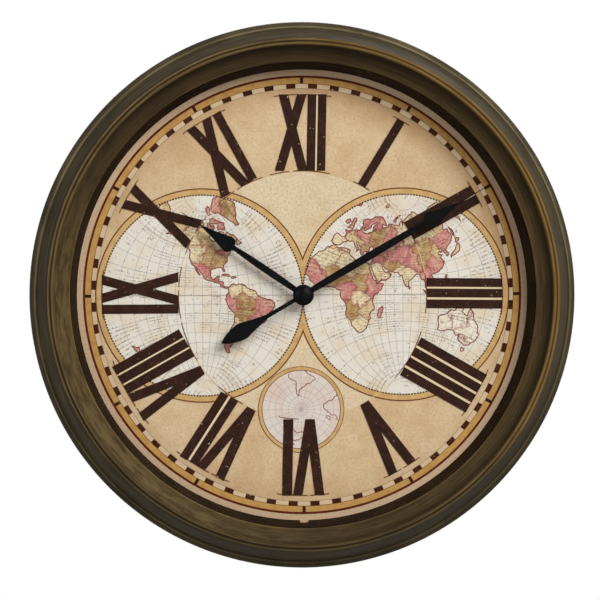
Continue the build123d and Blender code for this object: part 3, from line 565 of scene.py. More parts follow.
dress(paperFinish(), "dial_sheet")
inkDark = inkFinish("darkInk", tone(46, 26, 19), tone(63, 38, 28), 0.7, 0.05)
inkBlock = inkFinish("blockInk", tone(60, 27, 14), tone(80, 44, 26), 0.7, 0.03)
inkRed = inkFinish("redInk", tone(88, 28, 14), tone(120, 58, 36), 0.5)
inkOchre = inkFinish("ochreInk", tone(198, 154, 88), tone(180, 134, 70), 0.8)
inkPale = inkFinish("paleInk", paper["pale"], paper["parchment"], 0.7)
inkGold = inkFinish("goldInk", tone(226, 196, 140), paper["parchment"], 0.5)
inkBrown = inkFinish("brownInk", paper["brownLine"], tone(130, 84, 50), 0.5)
inkRing = inkFinish("mapRingInk", tone(205, 168, 112), tone(190, 149, 93), 0.9)
inkStrip = inkFinish("stripInk", tone(228, 205, 168), paper["parchment"], 0.6)
inkGrey = inkFinish("greyInk", tone(128, 108, 92), tone(160, 136, 112), 0.6)


def settle(piece, layer, flat, material):  # laid on the dial as a thin print
    piece = asMesh(piece)
    piece.scale = (mm, mm, mm * flat)
    piece.rotation_euler = (math.pi / 2, 0, 0)
    piece.location = (0, -(dial["height"] + dial["step"] * layers[layer]) * mm, 0)
    bpy.ops.object.transform_apply(location=True, rotation=True, scale=True)
    closeMesh(piece, dial["seam"] * mm)
    piece.data.materials.clear()
    piece.data.materials.append(material)
    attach(piece, "root")


def printShape(name, outlines, layer, material):
    settle(flatPiece(name, outlines, dial["thick"]), layer, 1.0, material)


def printLine(name, paths, width, layer, material, closed=True):  # ribbons along paths
    tube = {"dimensions": "3D", "bevel_depth": width / 2, "bevel_resolution": 0, "use_fill_caps": True}
    settle(newCurve(name, paths, closed, **tube), layer, dial["thick"] / width, material)


def circle(radius, centre=(0.0, 0.0), count=240):
    turns = [2 * math.pi * k / count for k in range(count)]
    return [(centre[0] + radius * math.cos(t), centre[1] + radius * math.sin(t)) for t in turns]


def sector(inner, outer, start, end, steps, centre=(0.0, 0.0)):  # degrees clockwise from twelve
    turns = [math.radians(start + (end - start) * k / steps) for k in range(steps + 1)]
    there = [(centre[0] + outer * math.sin(t), centre[1] + outer * math.cos(t)) for t in turns]
    back = [(centre[0] + inner * math.sin(t), centre[1] + inner * math.cos(t)) for t in reversed(turns)]
    return there + back


def printRing(name, limits, layer, material, centre=(0.0, 0.0)):
    printShape(name, [circle(limits[1], centre), circle(limits[0], centre)], layer, material)


def bothSides(radius, wide):  # inner and outer radius of a line
    return (radius - wide / 2, radius + wide / 2)


# Minute track
trackInks = {
    "redLine": inkRed,
    "ochreBand": inkOchre,
    "bandLine": inkBrown,
    "trackPale": inkPale,
    "trackLine": inkGrey,
}
for name, ink in trackInks.items():
    printRing(name, dial[name], "track", ink)
halfBlock = 3.0 * dial["darkShare"]
blocks = [sector(*dial["trackPale"], 6 * k + 3 - halfBlock, 6 * k + 3 + halfBlock, 3) for k in range(60)]
printShape("minuteBlocks", blocks, "marks", inkBlock)
halfTick = math.degrees(dial["tickWide"] / 2 / dial["ochreBand"][1])
ticks = [sector(*dial["ochreBand"], 30 * k - halfTick, 30 * k + halfTick, 2) for k in range(12)]
printShape("hourTicks", ticks, "marks", inkDark)
print("minute track printed")

# Roman numerals, tops outwards
numerals = {
    "inner": 116.0,
    "middle": 151.0,
    "outer": 187.2,
    "legWide": 8.9,
    "xLow": 21.8,
    "xHigh": 17.2,
    "vHigh": 20.4,
    "serif": 0.8,
    "serifPast": 4.7,
    "marks": [  # letters, their places left to right in millimetres, lean in degrees, width of an upright
        ("XII", (-9.4, 8.9, 18.4), 1.4, 8.0),
        ("I", (-1.8,), 1.7, 8.1),
        ("II", (-5.6, 4.2), 1.4, 8.9),
        ("III", (-10.7, -0.8, 9.4), 0.7, 8.2),
        ("IIII", (-16.2, -5.5, 5.1, 15.8), 0.0, 8.5),
        ("V", (1.3,), 0.2, 8.5),
        ("VI", (-5.2, 15.0), 1.3, 9.4),
        ("VII", (-9.0, 9.2, 19.5), 3.0, 8.2),
        ("VIII", (-12.4, 6.7, 16.9, 27.1), 0.9, 8.7),
        ("IX", (-12.3, 6.6), 0.0, 8.5),
        ("X", (-0.8,), 0.4, 8.5),
        ("XI", (-4.1, 15.1), 1.5, 8.3),
    ],
}


def letterOutline(letter, place, upright):  # outline as (across, along), its feet and its heads
    low = numerals["inner"]
    high = numerals["outer"]
    leg = numerals["legWide"] / 2
    if letter == "I":
        left = place - upright / 2
        right = place + upright / 2
        return [(left, low), (right, low), (right, high), (left, high)], [(left, right)], [(left, right)]
    foot = numerals["xLow"] / 2
    head = (numerals["vHigh"] if letter == "V" else numerals["xHigh"]) / 2
    heads = [(place - head - leg, place - head + leg), (place + head - leg, place + head + leg)]
    if letter == "V":
        rise = leg / head * (high - low)
        outline = [(place - leg, low), (place + leg, low), (heads[1][1], high), (heads[1][0], high),
                   (place, low + rise), (heads[0][1], high), (heads[0][0], high)]
        return outline, [], heads
    feet = [(place - foot - leg, place - foot + leg), (place + foot - leg, place + foot + leg)]
    rate = (high - low) / (foot + head)
    waist = low + foot * rate
    outline = [
        (feet[0][0], low), (feet[0][1], low), (place, waist - leg * rate),
        (feet[1][0], low), (feet[1][1], low), (place + leg, waist),
        (heads[1][1], high), (heads[1][0], high), (place, waist + leg * rate),
        (heads[0][1], high), (heads[0][0], high), (place - leg, waist),
    ]
    return outline, feet, heads


def joinedSpans(spans):  # feet whose serifs would run into each other share one line
    merged = []
    for first, last in sorted(spans):
        if merged and first - merged[-1][1] < 2 * numerals["serifPast"]:
            merged[-1][1] = last
        else:
            merged.append([first, last])
    return merged


def numeral(hour, word, places, lean, upright):  # its letters, its serifs and the strips between uprights
    outlines = []
    feet = []
    heads = []
    for letter, place in zip(word, places):
        outline, low, high = letterOutline(letter, place, upright)
        outlines.append(outline)
        feet += low
        heads += high
    turn = math.radians(30 * hour)
    slope = math.tan(math.radians(lean))

    def put(point):
        along = point[1]
        side = point[0] + (along - numerals["middle"]) * slope
        x = along * math.sin(turn) + side * math.cos(turn)
        z = along * math.cos(turn) - side * math.sin(turn)
        return (x, z)

    gaps = []
    for left, right in zip(range(len(word)), range(1, len(word))):
        if word[left] == word[right] == "I":
            edges = (places[left] + upright / 2, places[right] - upright / 2)
            corners = [(edge, end) for end in (numerals["inner"], numerals["outer"]) for edge in edges]
            gaps.append([put(corners[k]) for k in (0, 1, 3, 2)])
    lines = []
    for spans, radius in ((feet, numerals["inner"]), (heads, numerals["outer"])):
        shift = (radius - numerals["middle"]) * slope
        for first, last in joinedSpans(spans):
            start = math.degrees((first + shift - numerals["serifPast"]) / radius) + 30 * hour
            end = math.degrees((last + shift + numerals["serifPast"]) / radius) + 30 * hour
            lines.append(sector(*bothSides(radius, numerals["serif"]), start, end, 10))
    return [[put(point) for point in outline] for outline in outlines], lines, gaps


letters = []
serifs = []
strips = []
for hour, mark in enumerate(numerals["marks"]):
    shapes, lines, gaps = numeral(hour, *mark)
    letters += shapes
    serifs += lines
    strips += gaps
printShape("romanNumerals", letters, "letters", inkDark)
printShape("numeralSerifs", serifs, "serifs", inkBrown)
printShape("numeralStrips", strips, "strips", inkStrip)
print("numerals printed")

# Two hemispheres, drawn from plain latitudes and longitudes
maps = {  # millimetres and degrees, a line's width as where it fades out and where it is full
    "radius": 93.6,
    "centres": {"west": -93.6, "east": 93.6},
    "band": (93.5, 98.8),
    "outline": (98.8, 100.0),
    "middles": {"west": -107.0, "east": 73.0},
    "farthest": 89.5,
    "dashes": 216,
    "dashWide": 1.4,
    "dashLong": 1.6,
    "coastLine": 0.52,
    "coastTint": 1.0,
    "wander": 22.0,
    "provinces": 105.0,
    "borderTint": (1.8, 0.3),
    "borderLine": (0.45, 0.18),
    "gridStep": 10.0,
    "gridLine": (0.323, 0.102),
    "equatorStep": 2.0,
    "equatorLine": (0.5, 0.2),
    "rowStep": 2.6,
    "strokeLong": 52.0,
    "strokeShift": 7.31,
}
westLands = {
    "northAmerica": [
        (-168, 66), (-166, 68.5), (-156, 71), (-141, 69.7), (-128, 70), (-115, 68.5), (-105, 68), (-95, 68),
        (-94, 71.5), (-86, 68), (-82, 69), (-82, 66.5), (-87, 64.5), (-94, 61), (-95, 58.8), (-92, 57),
        (-85, 55.3), (-82.3, 55), (-82, 52.8), (-79.5, 51.3), (-78.8, 54.8), (-77, 57), (-78, 60),
        (-77.5, 62.4), (-73.5, 62.3), (-70, 61), (-69.5, 59), (-66, 58.7), (-64.5, 60.3), (-62, 57.5),
        (-57.5, 54.5), (-56, 52), (-60, 50.2), (-66, 50.2), (-69, 48.3), (-65, 49), (-64.5, 46.5),
        (-61, 45.8), (-64, 44.5), (-66, 43.8), (-67, 44.8), (-70, 43.5), (-70.5, 42), (-74, 40.6),
        (-75.5, 37.5), (-76, 35), (-81, 32), (-81.3, 30), (-80.2, 26), (-81.5, 25.5), (-82.8, 28),
        (-84, 30), (-89.5, 30.2), (-94, 29.5), (-97.2, 27.5), (-97.5, 22.5), (-95.8, 18.7), (-92, 18.6),
        (-90.5, 20.8), (-87, 21.4), (-88, 17.5), (-88.5, 15.8), (-83.3, 15), (-83.8, 11), (-81.5, 9),
        (-79.5, 9.5), (-77.5, 8.2), (-80, 7.3), (-83, 8.3), (-85.7, 10), (-87.5, 13), (-92, 14.5),
        (-95, 16), (-99.5, 16.6), (-105.5, 20), (-106, 23), (-109.3, 26), (-112.5, 29.5), (-114.7, 31.7),
        (-112.6, 28), (-109.5, 23), (-112, 25), (-115, 28.5), (-117, 32.5), (-120.6, 34.6), (-124.3, 40.3),
        (-124, 46), (-125, 48.5), (-128, 51), (-131, 54.5), (-135, 58), (-141, 60), (-148, 60.8),
        (-152, 59.2), (-156.5, 57), (-163, 54.7), (-160, 58.3), (-162, 59.8), (-166, 61.5), (-164.5, 63.2),
        (-161, 64.5), (-166, 64.6),
    ],
    "baffinIsland": [
        (-62, 66.5), (-66, 62), (-73, 64.3), (-78, 65), (-73, 68.3), (-80, 69.8), (-89, 70.5), (-86, 73.5),
        (-80, 73.6), (-72, 71.3), (-67, 69),
    ],
    "northIslands": [(-82, 76.5), (-90, 77), (-92, 81), (-80, 82.6), (-76, 81), (-79, 79)],
    "victoriaIsland": [(-117, 69.8), (-105, 69), (-102, 71), (-108, 73), (-117, 73)],
    "greenland": [
        (-73, 78), (-68, 76), (-58, 75.3), (-54, 70.5), (-51, 66), (-48, 61), (-43, 60), (-40, 65),
        (-32, 68), (-22, 70.5), (-19, 75), (-17, 80), (-25, 82.8), (-40, 83.4), (-60, 82),
    ],
    "newfoundland": [(-59.3, 47.7), (-55.5, 51.5), (-53, 47), (-56, 46.9)],
    "cuba": [(-84.8, 21.9), (-80.5, 23.1), (-74.3, 20.2), (-77.5, 19.9), (-79, 21.4)],
    "hispaniola": [(-74.3, 18.4), (-72.8, 19.9), (-68.5, 18.6), (-71.5, 17.8)],
    "southAmerica": [
        (-77.3, 8.5), (-75, 10.8), (-71.8, 12.3), (-71.5, 11), (-68, 11.3), (-62, 10.6), (-60, 8.5),
        (-57, 6), (-51.8, 4.5), (-50, 0.5), (-48, -0.8), (-44, -2.6), (-39, -3.3), (-35.3, -5.5),
        (-34.9, -8.5), (-38.5, -13), (-39.3, -18), (-41, -22), (-45, -23.6), (-48.5, -26), (-50, -29.5),
        (-53.5, -33.8), (-56.5, -34.8), (-58, -33.9), (-57, -36.5), (-58, -38.3), (-62, -39), (-65, -41),
        (-63.7, -42.6), (-65.5, -45), (-67.5, -46.3), (-65.8, -47.8), (-69, -51), (-68.4, -52.5),
        (-65.2, -54.7), (-70, -55.3), (-74, -52.5), (-75.5, -48), (-73.5, -42), (-73.5, -37.2),
        (-71.5, -32), (-70.3, -24), (-70.3, -18.3), (-76, -14), (-79.5, -7.5), (-81.3, -4.5), (-80, -2.5),
        (-80.2, 0.8), (-77.5, 3.8), (-77.8, 7),
    ],
    "northIsland": [
        (-187.3, -34.5), (-184.5, -36.8), (-181.7, -37.8), (-183.2, -40), (-185, -41.5), (-185.2, -39),
        (-186.2, -39.3),
    ],
    "southIsland": [
        (-187.2, -40.6), (-185.8, -41.8), (-188.8, -44.2), (-189.4, -46), (-192, -46.6), (-193.4, -45.8),
        (-189.5, -43),
    ],
    "farEast": [
        (-200, 69.8), (-190, 70), (-182, 69), (-175, 67), (-170, 66), (-173, 64.3), (-182, 62.5),
        (-190, 60), (-196.5, 58), (-198, 56), (-200, 54),
    ],
}
eastLands = {
    "eurasia": [
        (-9, 38.7), (-8.8, 43.2), (-1.8, 43.4), (-1.2, 46), (-4.6, 48.4), (-1.5, 48.7), (1.6, 50.9),
        (4.5, 52.5), (8.5, 53.8), (8.2, 57), (10.6, 57.6), (10, 54.5), (14, 54), (19, 54.4), (21, 56.5),
        (24, 57.2), (23.5, 59.2), (29.5, 60), (23, 60), (21.4, 61.5), (25, 65), (22, 65.7), (17.5, 62),
        (18.8, 60), (16.5, 57.5), (14.3, 55.5), (12.8, 55.5), (11.3, 58.8), (8, 58.1), (5.3, 59.5), (5, 62),
        (10, 64), (14, 67.5), (20, 70), (26, 71), (31, 70), (41, 67), (40, 66.2), (33, 66.6), (35, 64.3),
        (38, 64), (40, 65), (44, 66), (44.5, 68.3), (54, 68.5), (60, 69), (67, 68.5), (67, 72), (73, 71.5),
        (73, 68.5), (75, 72.5), (87, 75), (98, 76.3), (104, 77.6), (113, 74), (120, 73), (130, 71),
        (140, 72.5), (150, 71.5), (160, 69.7), (160, 61), (155, 59.3), (142.5, 59.3), (135.2, 54.8),
        (140.5, 53.5), (140.3, 48), (135.5, 44), (132.5, 43), (129.8, 41.5), (127.5, 39.7), (129.4, 36.8),
        (129, 35.2), (126.5, 34.4), (126.5, 37), (125, 38), (124.5, 40), (121.2, 39), (121, 40.7),
        (118, 39), (120, 37.5), (122.4, 37), (119.4, 35), (121.8, 31.5), (121.6, 28.5), (119, 25.3),
        (114.5, 22.4), (110.4, 21.2), (108, 21.6), (106, 19.5), (108.8, 15.3), (109.2, 11.7), (105, 8.6),
        (105, 10.3), (102.5, 12), (100.9, 13.4), (100, 13), (99.3, 10), (100.5, 7.2), (103.4, 3.8),
        (104.2, 1.3), (101.3, 2.9), (100.3, 5.8), (98.4, 8.2), (98.7, 12), (97.6, 16.4), (95.2, 15.8),
        (94.2, 18.8), (91.8, 22.3), (88, 21.7), (86.8, 20.5), (82.3, 16.6), (80.2, 15), (79.8, 10.3),
        (77.5, 8.1), (76.3, 10), (74.3, 14.7), (72.8, 19.5), (72.5, 21.5), (70, 20.9), (69, 22.3),
        (67, 24.8), (61.5, 25.1), (57, 25.8), (56.3, 27.1), (51.5, 27.9), (50, 30.2), (48, 29.9),
        (50.2, 26.5), (51.5, 24.5), (54, 24.1), (56.3, 26.2), (56.7, 24.3), (59.8, 22.5), (57.8, 19),
        (55, 17), (52, 15.6), (45, 12.8), (43.3, 12.8), (42.6, 16.5), (39.2, 21), (37, 25), (34.9, 29.4),
        (34.2, 31.3), (35.5, 34.5), (36, 36.7), (31, 36.6), (27.5, 36.8), (26.3, 39), (29, 41.1), (35, 42),
        (41.5, 41.5), (37.5, 45), (39, 47.2), (35, 46.2), (36.5, 45.2), (33.7, 44.4), (32.5, 46),
        (30.7, 46.3), (28.6, 43.7), (28.8, 41.3), (26, 40.8), (23.7, 40.3), (24, 38), (23, 36.5),
        (21.5, 37), (19.4, 41), (19.5, 42), (15, 44.5), (13.6, 45.6), (12.3, 45.2), (12.5, 44), (15.5, 42),
        (18.5, 40.2), (16.6, 39.8), (17, 39), (15.7, 38), (16, 40), (12.3, 41.8), (10.2, 43.8), (8.8, 44.4),
        (6, 43.1), (3.2, 43.2), (3, 41.8), (0, 39.7), (-0.5, 38.3), (-2, 36.8), (-5.5, 36), (-8.9, 37),
    ],
    "africa": [
        (-6, 35.8), (-2, 35.1), (3, 36.8), (10, 37.3), (10.5, 34.3), (15.2, 32.3), (20, 30.6), (22, 32.8),
        (29, 30.9), (32.3, 31.2), (32.6, 29.9), (35.5, 24), (37.3, 20.8), (39.5, 15.5), (43.2, 12.3),
        (43.4, 11.4), (51.2, 11.8), (49, 6.5), (44, 1), (40, -3), (39, -7), (40.6, -12), (40.6, -15.5),
        (35, -20), (35.5, -24), (32.6, -26.5), (31, -30), (26, -33.8), (20, -34.8), (18.3, -33),
        (15, -26.5), (11.8, -17.5), (13.6, -12), (12.2, -6), (9, -1), (9.5, 3.9), (6.5, 4.3), (1.5, 6.1),
        (-7.5, 4.4), (-13, 8.8), (-16.8, 12.5), (-17.4, 14.7), (-16.3, 19), (-17, 21), (-13, 27.8),
        (-9.8, 30), (-9.3, 32.5), (-6.2, 34.5),
    ],
    "madagascar": [(49.3, -12.2), (50.4, -15.7), (47.2, -25), (44.2, -25), (43.4, -22), (44.4, -16.5)],
    "britain": [
        (-5.3, 50.1), (1.3, 51.3), (0.3, 53), (-1.7, 55.5), (-2, 57.6), (-4.2, 58.6), (-5.8, 57),
        (-4.5, 54.5), (-3.1, 53.3), (-4.6, 52), (-3, 51.5),
    ],
    "ireland": [(-10, 52), (-6.3, 52.3), (-5.8, 54.5), (-8.3, 55.1), (-9.8, 53.8)],
    "iceland": [(-19.5, 63.6), (-18.5, 63.5), (-13.7, 65), (-16, 66.4), (-19.5, 66)],
    "novayaZemlya": [(52, 71.3), (57, 70.7), (57, 73.3), (68, 76.5), (60, 76), (54, 73.5)],
    "svalbard": [(12, 79.5), (17, 76.7), (24, 79.8), (17, 80.2)],
    "honshu": [
        (130.2, 32), (131.8, 33.7), (135.6, 33.6), (139, 34.8), (140.8, 36), (142, 39.5), (141.2, 41.3),
        (139.8, 39.5), (136.8, 37.3), (133, 35.5), (130.8, 34.3),
    ],
    "hokkaido": [(140.2, 42), (143.2, 42), (145.4, 43.4), (141.8, 45.4), (141.3, 43.3)],
    "sakhalin": [(142, 46), (143.5, 49.3), (143, 53.5), (142.2, 54), (141.9, 50)],
    "kamchatka": [(158, 61), (156, 57), (156.5, 51.2), (158.5, 53), (159.9, 56), (159.9, 61)],
    "ceylon": [(79.9, 7), (80, 9.6), (81.8, 7.3), (80.6, 6)],
    "sumatra": [(95.3, 5.6), (98.5, 4), (103.7, -1.3), (105.8, -5.8), (102.3, -4), (98.8, 1.3)],
    "java": [(105.3, -6.8), (110.8, -6.5), (114.4, -7.8), (114.3, -8.6), (108.5, -7.8)],
    "borneo": [
        (109, 1.5), (113, 3.2), (117, 7), (119, 5), (117.5, 0.9), (116, -3.8), (111.5, -3.2), (109.2, -0.5),
    ],
    "celebes": [
        (119.5, -5.5), (119.2, -1.5), (120.3, 1), (124.8, 1.5), (121.2, 0.2), (123.3, -1), (121.6, -2.5),
        (122.6, -5), (120.5, -3),
    ],
    "philippines": [
        (120.3, 16), (121, 18.5), (122.2, 18.3), (121.6, 15.5), (124, 12.5), (126.3, 8.5), (125.4, 5.8),
        (122, 7), (123.5, 10.5), (120.7, 13.8),
    ],
    "newGuinea": [
        (131, -0.8), (134, -0.8), (135, -3.3), (141, -2.6), (147.5, -6), (150.7, -10.5), (146.5, -8.8),
        (143, -9.2), (138, -8), (138, -5.5), (132.8, -4),
    ],
    "australia": [
        (113.8, -22), (114.2, -26.3), (115.7, -32), (115.2, -34.3), (118, -35), (123.5, -33.9),
        (126, -32.3), (131, -31.5), (135.5, -34.8), (138, -33), (138, -35.6), (140.5, -38), (144.5, -38.3),
        (146.5, -39), (150, -37.3), (153, -32), (153.5, -28), (150.8, -23.5), (146.3, -19), (145.3, -15),
        (142.5, -10.8), (141.7, -13), (140.8, -17.4), (139, -17.3), (135.6, -15), (136.8, -12.2),
        (132.6, -11.3), (130, -13), (129, -15), (125.5, -14.2), (122.2, -18), (118.5, -20.3),
    ],
    "tasmania": [(144.7, -40.8), (148.2, -40.8), (147.5, -43.4), (146, -43.3)],
}
landTints = {
    "cream": tone(226, 208, 168),
    "sand": tone(210, 184, 134),
    "ochre": tone(174, 136, 82),
    "rose": tone(202, 124, 122),
    "bare": tone(234, 226, 208),
    "faded": tone(226, 208, 170),
    "borderTint": tone(180, 104, 92),
    "borderLine": tone(112, 50, 44),
    "province": tone(112, 60, 48),
    "stroke": tone(84, 56, 40),
    "dot": tone(104, 66, 46),
}
washes = {  # longitude and latitude where each patch of tint lies
    "west": {
        "cream": [(-126, 62), (-118, 46), (-74, 56), (-72, 5), (-66, -32), (-53, 3)],
        "sand": [(-152, 65), (-100, 63), (-110, 72), (-76, 21), (-56, 48), (-195, 63)],
        "ochre": [(-100, 40), (-84, 36), (-42, 73), (-60, -6), (-60, -19)],
        "rose": [(-73, 43), (-107, 27), (-88, 15), (-74, 68), (-66, 79), (-45, -9), (-51, -25), (-77, -11),
                 (-70, -47), (-187, -41)],
    },
    "east": {
        "cream": [(-5, 30), (12, 25), (27, -6), (24, -27), (46, 24), (78, 21), (76, 63), (112, 63), (-4, 40)],
        "sand": [(28, 27), (34, -16), (8, 46), (140, 64), (138, 36), (119, 38), (122, 10)],
        "ochre": [(8, 13), (26, 13), (17, -14), (56, 32), (36, 57), (102, 45), (101, 36), (28, 47)],
        "rose": [(-10, 9), (12, 3), (39, 9), (46, -19), (38, 39), (16, 52), (18, 65), (56, 56), (66, 42),
                 (86, 36), (112, 30), (102, 17), (128, 46), (113, 0), (-3, 54), (100, -1)],
        "bare": [(119, -24), (133, -22), (145, -28), (146, -42), (140, -5)],
    },
}


def onMap(point, side):  # stereographic, each hemisphere seen from over the equator
    away = point[0] - maps["middles"][side]
    east = math.radians(max(-maps["farthest"], min(maps["farthest"], away)))
    north = math.radians(point[1])
    scale = maps["radius"] / (1 + math.cos(north) * math.cos(east))
    return (maps["centres"][side] + scale * math.cos(north) * math.sin(east), scale * math.sin(north))


def coast(points, shaker, rounds=2, rough=0.13):  # breaks straight runs into small bays
    for step in range(rounds):
        finer = []
        for here, there in zip(points, points[1:] + points[:1]):
            run = (there[0] - here[0], there[1] - here[1])
            push = shaker.uniform(-rough, rough)
            finer.append(here)
            finer.append(((here[0] + there[0]) / 2 - run[1] * push, (here[1] + there[1]) / 2 + run[0] * push))
        points = finer
    return points


def fromStep(value, step):  # distance to the nearest whole step
    return abs((value / step + 0.5).sums("FRACT") - 0.5) * step


def mapGrid(place, side):  # net of meridians and parallels, equator and rows of fine strokes, 1 on each line
    x, y, z = split(place)
    across = (x - maps["centres"][side] * mm) / (maps["radius"] * mm)
    along = z / (maps["radius"] * mm)
    square = across * across + along * along
    north = (2.0 * along / (1.0 + square)).sums("ARCSINE")
    east = (2.0 * across).sums("ARCTAN2", 1.0 - square)
    size = (1.0 + square) * 0.5 * maps["radius"]
    step = math.radians(maps["gridStep"])
    offNorth = fromStep(north, step) * size
    offEast = fromStep(east, step) * size * north.sums("COSINE")
    meridians = smooth(offEast, *maps["gridLine"]) * smooth(north.sums("COSINE"), 0.1, 0.3)
    net = smooth(offNorth, *maps["gridLine"]).sums("MAXIMUM", meridians)
    dots = smooth((east / math.radians(maps["equatorStep"])).sums("FRACT"), 0.45, 0.55)
    equator = smooth(abs(north) * size, *maps["equatorLine"]) * (dots * 0.6 + 0.4)
    row = north / math.radians(maps["rowStep"])
    inRow = smooth(abs(row.sums("FRACT") - 0.5), 0.2, 0.12)
    word = joined(east * maps["strokeLong"], row.sums("FLOOR") * maps["strokeShift"], 0.0)
    return net, equator, inRow * smooth(grain(word, 1.0, 3.0, 0.7), 0.46, 0.54)


def seaFinish(side):
    place = newFinish(side + "Sea")
    cloud = grain(place, 40.0, 4.0)
    fibre = grain(place, 700.0, 2.0)
    net, equator, strokes = mapGrid(place, side)
    colour = blend(smooth(cloud, 0.42, 0.68), paper["sea"], paper["seaWarm"])
    some = smooth(grain(place, 58.0, 3.0), 0.5, 0.58)
    colour = blend(strokes * some * 0.7, colour, paper["seaStroke"])
    dots = smooth(grain(place, 330.0, 2.0, 0.7), 0.66, 0.7)
    colour = blend(dots * 0.6, colour, paper["brownLine"])
    colour = blend(net * 0.6, colour, paper["grid"])
    colour = blend(equator * 0.8, colour, paper["equator"])
    colour = blend(smooth(fibre, 0.55, 0.72) * 0.2, colour, paper["warm"])
    return closeFinish(place, colour, 0.8 + fibre * 0.1, paper["gloss"])


def tintedPatches(bent, side, reach):  # tint of the nearest wash, and the distance to its border
    tint = landTints["cream"]
    nearest = maps["radius"] * mm
    second = nearest
    for wash, spots in washes[side].items():
        for spot in spots:
            x, z = onMap(spot, side)
            middle = (x * mm + reach / 2, 0.0, z * mm + reach / 2)
            away = bent.node("ShaderNodeVectorMath", {"operation": "DISTANCE"}, {0: bent, 1: middle}, "Value")
            tint = blend(away.sums("LESS_THAN", nearest), tint, landTints[wash])
            second = away.sums("MAXIMUM", nearest).sums("MINIMUM", second)
            nearest = away.sums("MINIMUM", nearest)
    return tint, (second - nearest) * (0.5 / mm)


def landFinish(side):
    place = newFinish(side + "Land")
    reach = maps["wander"] * mm
    bend = stretched(grain(place, 75.0, 4.0, 0.5, "Color"), reach, 0.0, reach)
    flat = stretched(place, 1.0, 0.0, 1.0)
    bent = place.node("ShaderNodeVectorMath", {"operation": "ADD"}, {0: flat, 1: bend})
    tint, border = tintedPatches(bent, side, reach)
    cloud = grain(place, 160.0, 4.0)
    net, equator, strokes = mapGrid(place, side)
    colour = blend(smooth(cloud, 0.35, 0.7) * 0.45, tint, landTints["faded"])
    colour = blend(smooth(border, *maps["borderTint"]) * 0.4, colour, landTints["borderTint"])
    colour = blend(smooth(border, *maps["borderLine"]) * 0.6, colour, landTints["borderLine"])
    mesh = {"Vector": bent, "Scale": maps["provinces"]}
    province = bent.node("ShaderNodeTexVoronoi", {"feature": "DISTANCE_TO_EDGE"}, mesh, "Distance")
    colour = blend(smooth(province, 0.05, 0.015) * 0.4, colour, landTints["province"])
    some = smooth(grain(place, 85.0, 2.0), 0.44, 0.5)
    colour = blend(strokes * some * 0.65, colour, landTints["stroke"])
    dots = smooth(grain(place, 420.0, 2.0, 0.7), 0.6, 0.66)
    colour = blend(dots * 0.6, colour, landTints["dot"])
    colour = blend(net * 0.35, colour, paper["grid"])
    return closeFinish(place, colour, 0.8 + cloud * 0.1, paper["gloss"])


inkCoast = inkFinish("coastInk", tone(116, 42, 40), tone(96, 58, 40), 0.9)
inkShore = inkFinish("shoreInk", tone(200, 118, 116), tone(204, 158, 118), 1.0)


def clippedCircle(radius, side, steps=200):  # the part of a ring on its own side of the dial
    middle = maps["centres"][side]
    limit = math.acos(abs(middle) / radius)
    turns = [-math.pi + limit + (2 * math.pi - 2 * limit) * k / steps for k in range(steps + 1)]
    sign = math.copysign(1, middle)
    return [(middle + sign * radius * math.cos(t), radius * math.sin(t)) for t in turns]


shaker = random.Random(11)
for side, lands in (("west", westLands), ("east", eastLands)):
    centre = (maps["centres"][side], 0.0)
    printShape(side + "Sea", [circle(maps["radius"], centre)], "sea", seaFinish(side))
    band = [clippedCircle(maps["band"][1], side), circle(maps["band"][0], centre)]
    printShape(side + "MapRing", band, "sea", inkRing)
    outer = clippedCircle(maps["outline"][1], side)
    inner = clippedCircle(maps["outline"][0], side)
    printShape(side + "RingLine", [outer + inner[::-1]], "sea", inkBrown)
    turn = 360 / maps["dashes"]
    half = math.degrees(maps["dashLong"] / 2 / maps["radius"])
    edges = bothSides(maps["radius"], maps["dashWide"])
    dashes = [sector(*edges, k * turn - half, k * turn + half, 1, centre) for k in range(maps["dashes"])]
    printShape(side + "RingDashes", dashes, "lands", inkDark)
    shores = [coast([onMap(point, side) for point in outline], shaker) for outline in lands.values()]
    printShape(side + "Lands", shores, "lands", landFinish(side))
    printLine(side + "Shores", shores, maps["coastTint"], "shores", inkShore)
    printLine(side + "Coasts", shores, maps["coastLine"], "coasts", inkCoast)
print("hemispheres printed")

# Thin gold circle round the middle of the dial, over the maps
printRing("discLine", bothSides(dial["innerDisc"], dial["discLine"]), "disc", inkGold)

# Small polar map under the hands
polar = {
    "centre": (-2.2, -107.0),
    "radius": 36.3,
    "ring": (36.6, 40.0),
    "line": 0.55,
    "reach": 96.0,
    "turned": 60.0,
    "coastLine": 0.75,
    "coastEdge": 0.3,
    "spokeStep": 15.0,
    "hoopStep": 6.05,
    "netLine": (0.26, 0.08),
    "sea": tone(220, 207, 196),
    "seaWarm": tone(216, 194, 178),
    "mark": tone(120, 96, 92),
    "net": tone(132, 122, 130),
}


def polarFinish():
    place = newFinish("polarSea", (-polar["centre"][0] * mm, 0.0, -polar["centre"][1] * mm))
    x, y, z = split(place)
    radius = fromAxis(x, z) / mm
    spoke = fromStep(x.sums("ARCTAN2", z), math.radians(polar["spokeStep"])) * radius
    hoop = fromStep(radius, polar["hoopStep"])
    net = smooth(spoke.sums("MINIMUM", hoop), *polar["netLine"])
    cloud = grain(place, 60.0, 4.0)
    colour = blend(smooth(cloud, 0.4, 0.7), polar["sea"], polar["seaWarm"])
    marks = smooth(grain(stretched(place, 420.0, 1.0, 900.0), 1.0, 2.0, 0.7), 0.67, 0.73)
    colour = blend(marks * 0.5, colour, polar["mark"])
    colour = blend(net * 0.6, colour, polar["net"])
    return closeFinish(place, colour, 0.85 + cloud * 0.05, paper["gloss"])


def onPolar(point):
    reach = (90 + point[1]) / polar["reach"] * polar["radius"]
    turn = math.radians(point[0] + polar["turned"])
    return (polar["centre"][0] + reach * math.sin(turn), polar["centre"][1] + reach * math.cos(turn))


